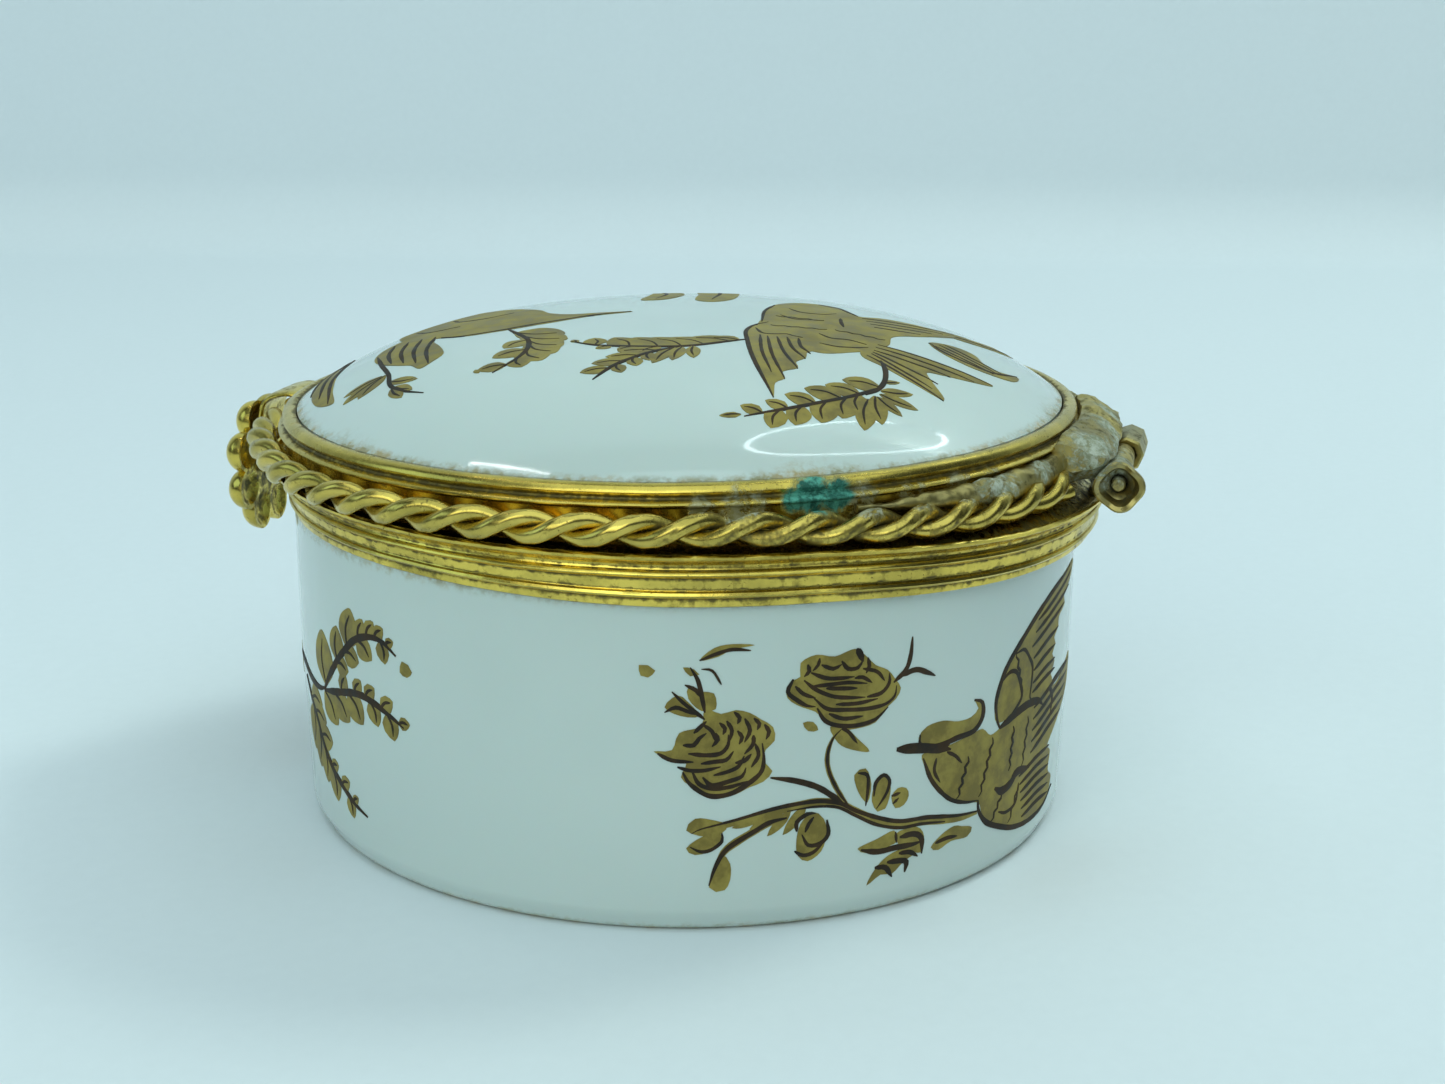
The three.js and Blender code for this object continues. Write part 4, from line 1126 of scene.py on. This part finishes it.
def lid_sprays(pen):
    """The sprays that hang from the birds and the loose leaves on the lid."""
    pen.fill(16, 0.3, 16.7, -0.5, 17.8, -0.9, 18.8, -0.5, 19.4, 0.6, 20.4, 0.8, 21.5, -0.2, 21.4, 1.2, 20.4,
             2.2, 18.9, 2.7, 17.5, 2.3, 16.5, 1.4)
    pen.comb(3, 0.24, 16.8, -0.4, 16.4, 0.8, 20.8, 1.1, 20.2, 2)
    pen.line(0.34, 16, 0.4, 17, 1.6, 18.6, 2.1, 20.2, 1.7, 21.4, -0.3)
    pen.line(0.4, 14.1, 7.2, 14.6, 8.6, 14.8, 10.2, 14.6, 11.6, 14.1, 12.6)
    pen.fern((14.7, 11.2, 13.6, 13, 12.2, 14.6, 10.4, 16.3, 8.2, 18),
             (12.6, 11.6, 11.8, 12.8, 10.8, 13.8, 9.9, 15, 9, 16.1, 7.8, 17.1, 14, 14.8, 13.3, 15.7, 12.3,
              16.7, 11, 17.6, 9.8, 18.4), 0.34, 0.75)
    pen.leaf(8, 17.9, 6.9, 18.4, 0.4, 0.14)
    for x, y, to_x, to_y in ((14.8, 11.6, 16.5, 10.6), (14.8, 12, 17, 12.1), (14.7, 12.4, 16.3, 13.4),
                             (14.6, 12.4, 15.4, 14.9), (14.3, 13, 14.6, 16), (14.7, 10.4, 15.6, 9.7)):
        pen.leaf(x, y, to_x, to_y, 0.42)
    pen.fern((5.8, 6.9, 4.6, 8, 3, 9.3, 1.2, 9.9, -0.6, 10.1, -2.6, 10, -4.4, 9.2),
             (3.6, 7, 2.5, 7.3, 1.4, 7.6, 0.3, 7.8, -0.8, 8, -2, 8.1, -3.2, 8.3, -4.4, 8.8, 0.4, 11.2, -1,
              11, -2.4, 10.8), 0.4, 0.8)
    pen.leaf(3.2, 9.4, 3.8, 11.7, 0.36)
    pen.leaf(2.6, 9.7, 2.7, 12.4, 0.34)
    pen.leaf(2.2, 9.9, 1.7, 13.1, 0.32)
    pen.fern((2.4, 9.7, 1.2, 11, 0.2, 12.6, -0.5, 14, -1.1, 15.9),
             (-0.9, 11.2, -1.3, 12.4, -1.8, 13.6, -2.1, 15, 1.4, 12.7, 0.9, 13.7, 0.3, 14.8), 0.44, 0.7)
    pen.fern((-9.6, 5.4, -8.4, 7, -7.3, 8.6, -6.7, 10.6, -6.8, 12.6, -7.6, 14.5),
             (-5.5, 7, -4.9, 8.6, -4.7, 10.2, -4.7, 11.6, -5.1, 12.9, -6, 13.9, -8.3, 10.2, -8.4, 12, -8.7,
              13.9), 0.42, 0.85)
    pen.leaf(-8.9, 13.8, -8.5, 14.3, 0.6, 0)
    pen.line(0.34, -17.9, 6.6, -16.6, 9.2, -15.2, 11.6, -14.3, 13.6, -13, 14.9, -11.4, 15.8)
    for x, y, to_x, to_y in ((-15.4, 11.6, -16.2, 14), (-15.6, 11.6, -17.6, 12.8), (-15.6, 11.8, -17.2, 13.9),
                             (-14.6, 13, -12.6, 13.6), (-13.9, 14, -12.4, 15), (-14, 14.2, -12.8, 15.7)):
        pen.leaf(x, y, to_x, to_y, 0.42)


def far_bird(pen):
    """The bird at the clasp side of the lid, and the two long leaves between the birds."""
    pen.fill(-3.4, -1, -5.5, 1, -7.2, 3.2, -8.6, 4.6, -10, 5.6, -12, 6.2, -14, 5.6, -16.4, 4.6, -18.2, 2,
             -19, -1, -18.6, -4, -15.6, -4.4, -12.5, -3.4, -10.6, -2.2, -9.6, -1.4, -8.6, 0, -7, 0.5, -5.2,
             -0.3)
    pen.fill(-15, 4, -14.2, 6.4, -13.2, 8, -12.3, 9.8, -12.5, 11, -13, 12, -14, 11, -15, 10.4, -16.5, 9.2,
             -17.8, 7.4, -18.2, 5, -17, 3)
    pen.fill(-23.2, -1, -22, 3, -20.6, 7, -19.4, 10.4, -18.3, 12.9, -19.6, 12.2, -21, 10, -22.3, 6.4, -23.2,
             2)
    pen.line(0.34, -3.5, -1, -5.4, 0.7, -7.2, 2.8, -8.8, 4.4, -10.4, 5.6, -12.4, 6.1, -14, 5.6)
    pen.comb(4, 0.34, -17.6, 4.4, -14.6, 5, -15.8, 9.6, -12.7, 11.4)
    pen.comb(3, 0.34, -22.8, 0, -21.4, 2, -21.6, 8.8, -18.8, 12.6)
    pen.line(0.24, -15.8, -1.6, -14.6, 0.2, -12.8, 0.4, -11.4, -1)
    pen.line(0.24, -17.4, 1, -15.8, 2.6, -13.8, 2.6)
    pen.fill(-20, -11.2, -18.4, -14.2, -16.4, -16.4, -13.6, -17.8, -10.8, -19, -8.6, -19.8, -10.4, -18.2,
             -12.6, -16.4, -13.2, -14.6, -14.2, -12.6, -15.6, -10, -15.2, -7, -16, -4.4, -19, -4.2, -21.6,
             -6, -22.4, -8.6)
    pen.line(0.4, -21, -9.4, -19.4, -12.8, -17.2, -15.8, -14, -17.7, -11, -19, -8.6, -19.8)
    pen.comb(4, 0.3, -20.6, -7.4, -16.4, -5.6, -18.2, -13.2, -14, -15)
    pen.fill(-3.4, -19.2, -1.8, -18.8, 0, -16, 1.2, -12, 1.7, -8, 0.8, -6.2, -0.6, -6.8, -1.2, -10, -2.4,
             -14.5)
    pen.fill(-7.4, -17.2, -5.4, -16.8, -3.6, -13.5, -2.2, -10, -2.6, -7, -4.2, -6.2, -4.4, -9, -5.2, -13)
    pen.line(0.34, -2.4, -18.4, -0.9, -14.6, 0.1, -10.8, 0.4, -7.2)
    pen.line(0.34, -6.4, -16.8, -4.6, -13.2, -3.4, -9.8, -3.4, -7)


def paint_lid():
    """Both birds and their sprays."""
    pen = Pen(0.75)
    for motif in (near_bird, lid_sprays, far_bird):
        motif(pen)
    lay_paint(pen, on_lid, "lid", "lid", LID_RING)


porcelain_base()
porcelain_lid()
base_bezel()
lid_bezel()
collar()
plaster_beds()
wire("wire_a", 0.0, "rope_strand_a")
wire("wire_b", math.pi, "rope_strand_b")
rosette()
bracket()
hinge()
solder()
paint_bowl()
paint_lid()

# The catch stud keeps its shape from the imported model.
stud = frame["nodes"]["clasp_catch"]
stud.data.materials.clear()
stud.data.materials.append(gilt)


# Camera, light and ground

AZIMUTH = math.radians(103)
ELEVATION = math.radians(15.4)
ROLL = math.radians(0.4)
DISTANCE = 141.9
SENSOR_WIDTH = 36
LENS = 54.1
TARGET = Vector((-0.52, 2.27, 16.2))
BACK = Vector((math.sin(AZIMUTH) * math.cos(ELEVATION), -math.cos(AZIMUTH) * math.cos(ELEVATION),
               math.sin(ELEVATION)))
RIGHT = Vector((math.cos(AZIMUTH), math.sin(AZIMUTH), 0))
AWAY = Vector((-BACK.x, -BACK.y, 0)).normalized()


def add_camera():
    """The view from the side, a little above the lid."""
    data = bpy.data.cameras.new("camera")
    data.sensor_width = SENSOR_WIDTH
    data.lens = LENS
    data.clip_start = 0.005
    data.clip_end = 20
    camera = bpy.data.objects.new("camera", data)
    facing = BACK.to_track_quat("Z", "Y").to_matrix().to_4x4()
    camera.matrix_world = (Matrix.Translation((TARGET + BACK * DISTANCE) * MM) @ facing
                           @ Matrix.Rotation(ROLL, 4, "Z"))
    bpy.context.scene.collection.objects.link(camera)
    bpy.context.scene.camera = camera


def add_area(name, at, size, colour, power, shape="RECTANGLE", long_way=(1, 0, 0), mirrored=True):
    """A light at a point given as millimetres to the right, away from the camera and up. It faces the box,
    with its first size along long_way, given the same way. Mirrored ones show in the glaze and the brass."""
    data = bpy.data.lights.new(name, "AREA")
    data.shape = shape
    data.size, data.size_y = (length * MM for length in size)
    data.energy = power
    data.color = colour
    light = bpy.data.objects.new(name, data)
    axes = Matrix((RIGHT, AWAY, (0, 0, 1))).transposed()
    place = axes @ Vector(at)
    z = (place - Vector((0, 0, 20))).normalized()
    y = z.cross(axes @ Vector(long_way)).normalized()
    x = y.cross(z)
    light.matrix_world = Matrix.Translation(place * MM) @ Matrix((x, y, z)).transposed().to_4x4()
    light.visible_camera = False
    light.visible_glossy = mirrored
    bpy.context.scene.collection.objects.link(light)
    return data


def hollow_out(lamp, rim):
    """Lets only the outer rim of a round lamp shine."""
    lamp.use_nodes = True
    nodes, links = lamp.node_tree.nodes, lamp.node_tree.links
    place = nodes.new("ShaderNodeNewGeometry")
    centred = nodes.new("ShaderNodeVectorMath")
    centred.operation = "DISTANCE"
    centred.inputs[1].default_value = (0.5, 0.5, 0)
    edge = nodes.new("ShaderNodeMath")
    edge.operation = "GREATER_THAN"
    edge.inputs[1].default_value = 0.5 * (1 - rim)
    links.new(place.outputs["Parametric"], centred.inputs[0])
    links.new(centred.outputs["Value"], edge.inputs[0])
    links.new(edge.outputs[0], nodes["Emission"].inputs["Strength"])


def add_ground():
    """Paper floor that runs back and curves up into a backdrop."""
    half, front, back, bend = 1500, -900, 258, 14
    line = [(front, 0)] + [(back - bend + bend * math.sin(a), bend - bend * math.cos(a))
                           for a in steps(0, math.pi / 2, 10)] + [(back, 900)]
    verts, faces = [], []
    for y, z in line:
        for x in (-half, half):
            verts.append((RIGHT * x + AWAY * y + Vector((0, 0, z))) * MM)
    for i in range(len(line) - 1):
        faces.append((2 * i, 2 * i + 1, 2 * i + 3, 2 * i + 2))
    mesh = bpy.data.meshes.new("ground")
    mesh.from_pydata(verts, [], faces)
    mesh.polygons.foreach_set("use_smooth", [True] * len(mesh.polygons))
    mesh.materials.append(paper_material())
    ground = bpy.data.objects.new("ground", mesh)
    bpy.context.scene.collection.objects.link(ground)


def add_light():
    """Soft studio light, with a ring lamp and a strip that show in the glaze."""
    world = bpy.data.worlds.new("studio")
    world.use_nodes = True
    world.node_tree.nodes["Background"].inputs["Color"].default_value = (0.66, 0.86, 0.93, 1)
    world.node_tree.nodes["Background"].inputs["Strength"].default_value = 0.07
    bpy.context.scene.world = world
    ring = add_area("ring_lamp", (158, 190, 435), (259, 105), (0.8, 0.95, 1), 0.75, "ELLIPSE",
                    (0.72, 0.48, -0.5))
    hollow_out(ring, 0.05)
    add_area("dashes", (-205, 107, 460), (120, 4), (1, 1, 1), 0.03, long_way=(-0.6, 0.6, -0.5))
    add_area("overhead", (60, -300, 640), (1000, 900), (0.75, 0.957, 1), 3.3)
    add_area("front", (-200, -600, 330), (600, 300), (0.87, 1, 0.9), 1.05)
    add_area("key", (340, 180, 520), (160, 160), (0.85, 1, 0.93), 0.85, mirrored=False)
    add_area("window", (-500, -100, 260), (300, 300), (0.55, 0.85, 1), 0.35)
    add_area("right", (500, 0, 260), (300, 300), (0.6, 0.85, 1), 0.05, mirrored=False)


add_camera()
add_ground()
add_light()
bpy.context.scene.view_settings.view_transform = "Standard"
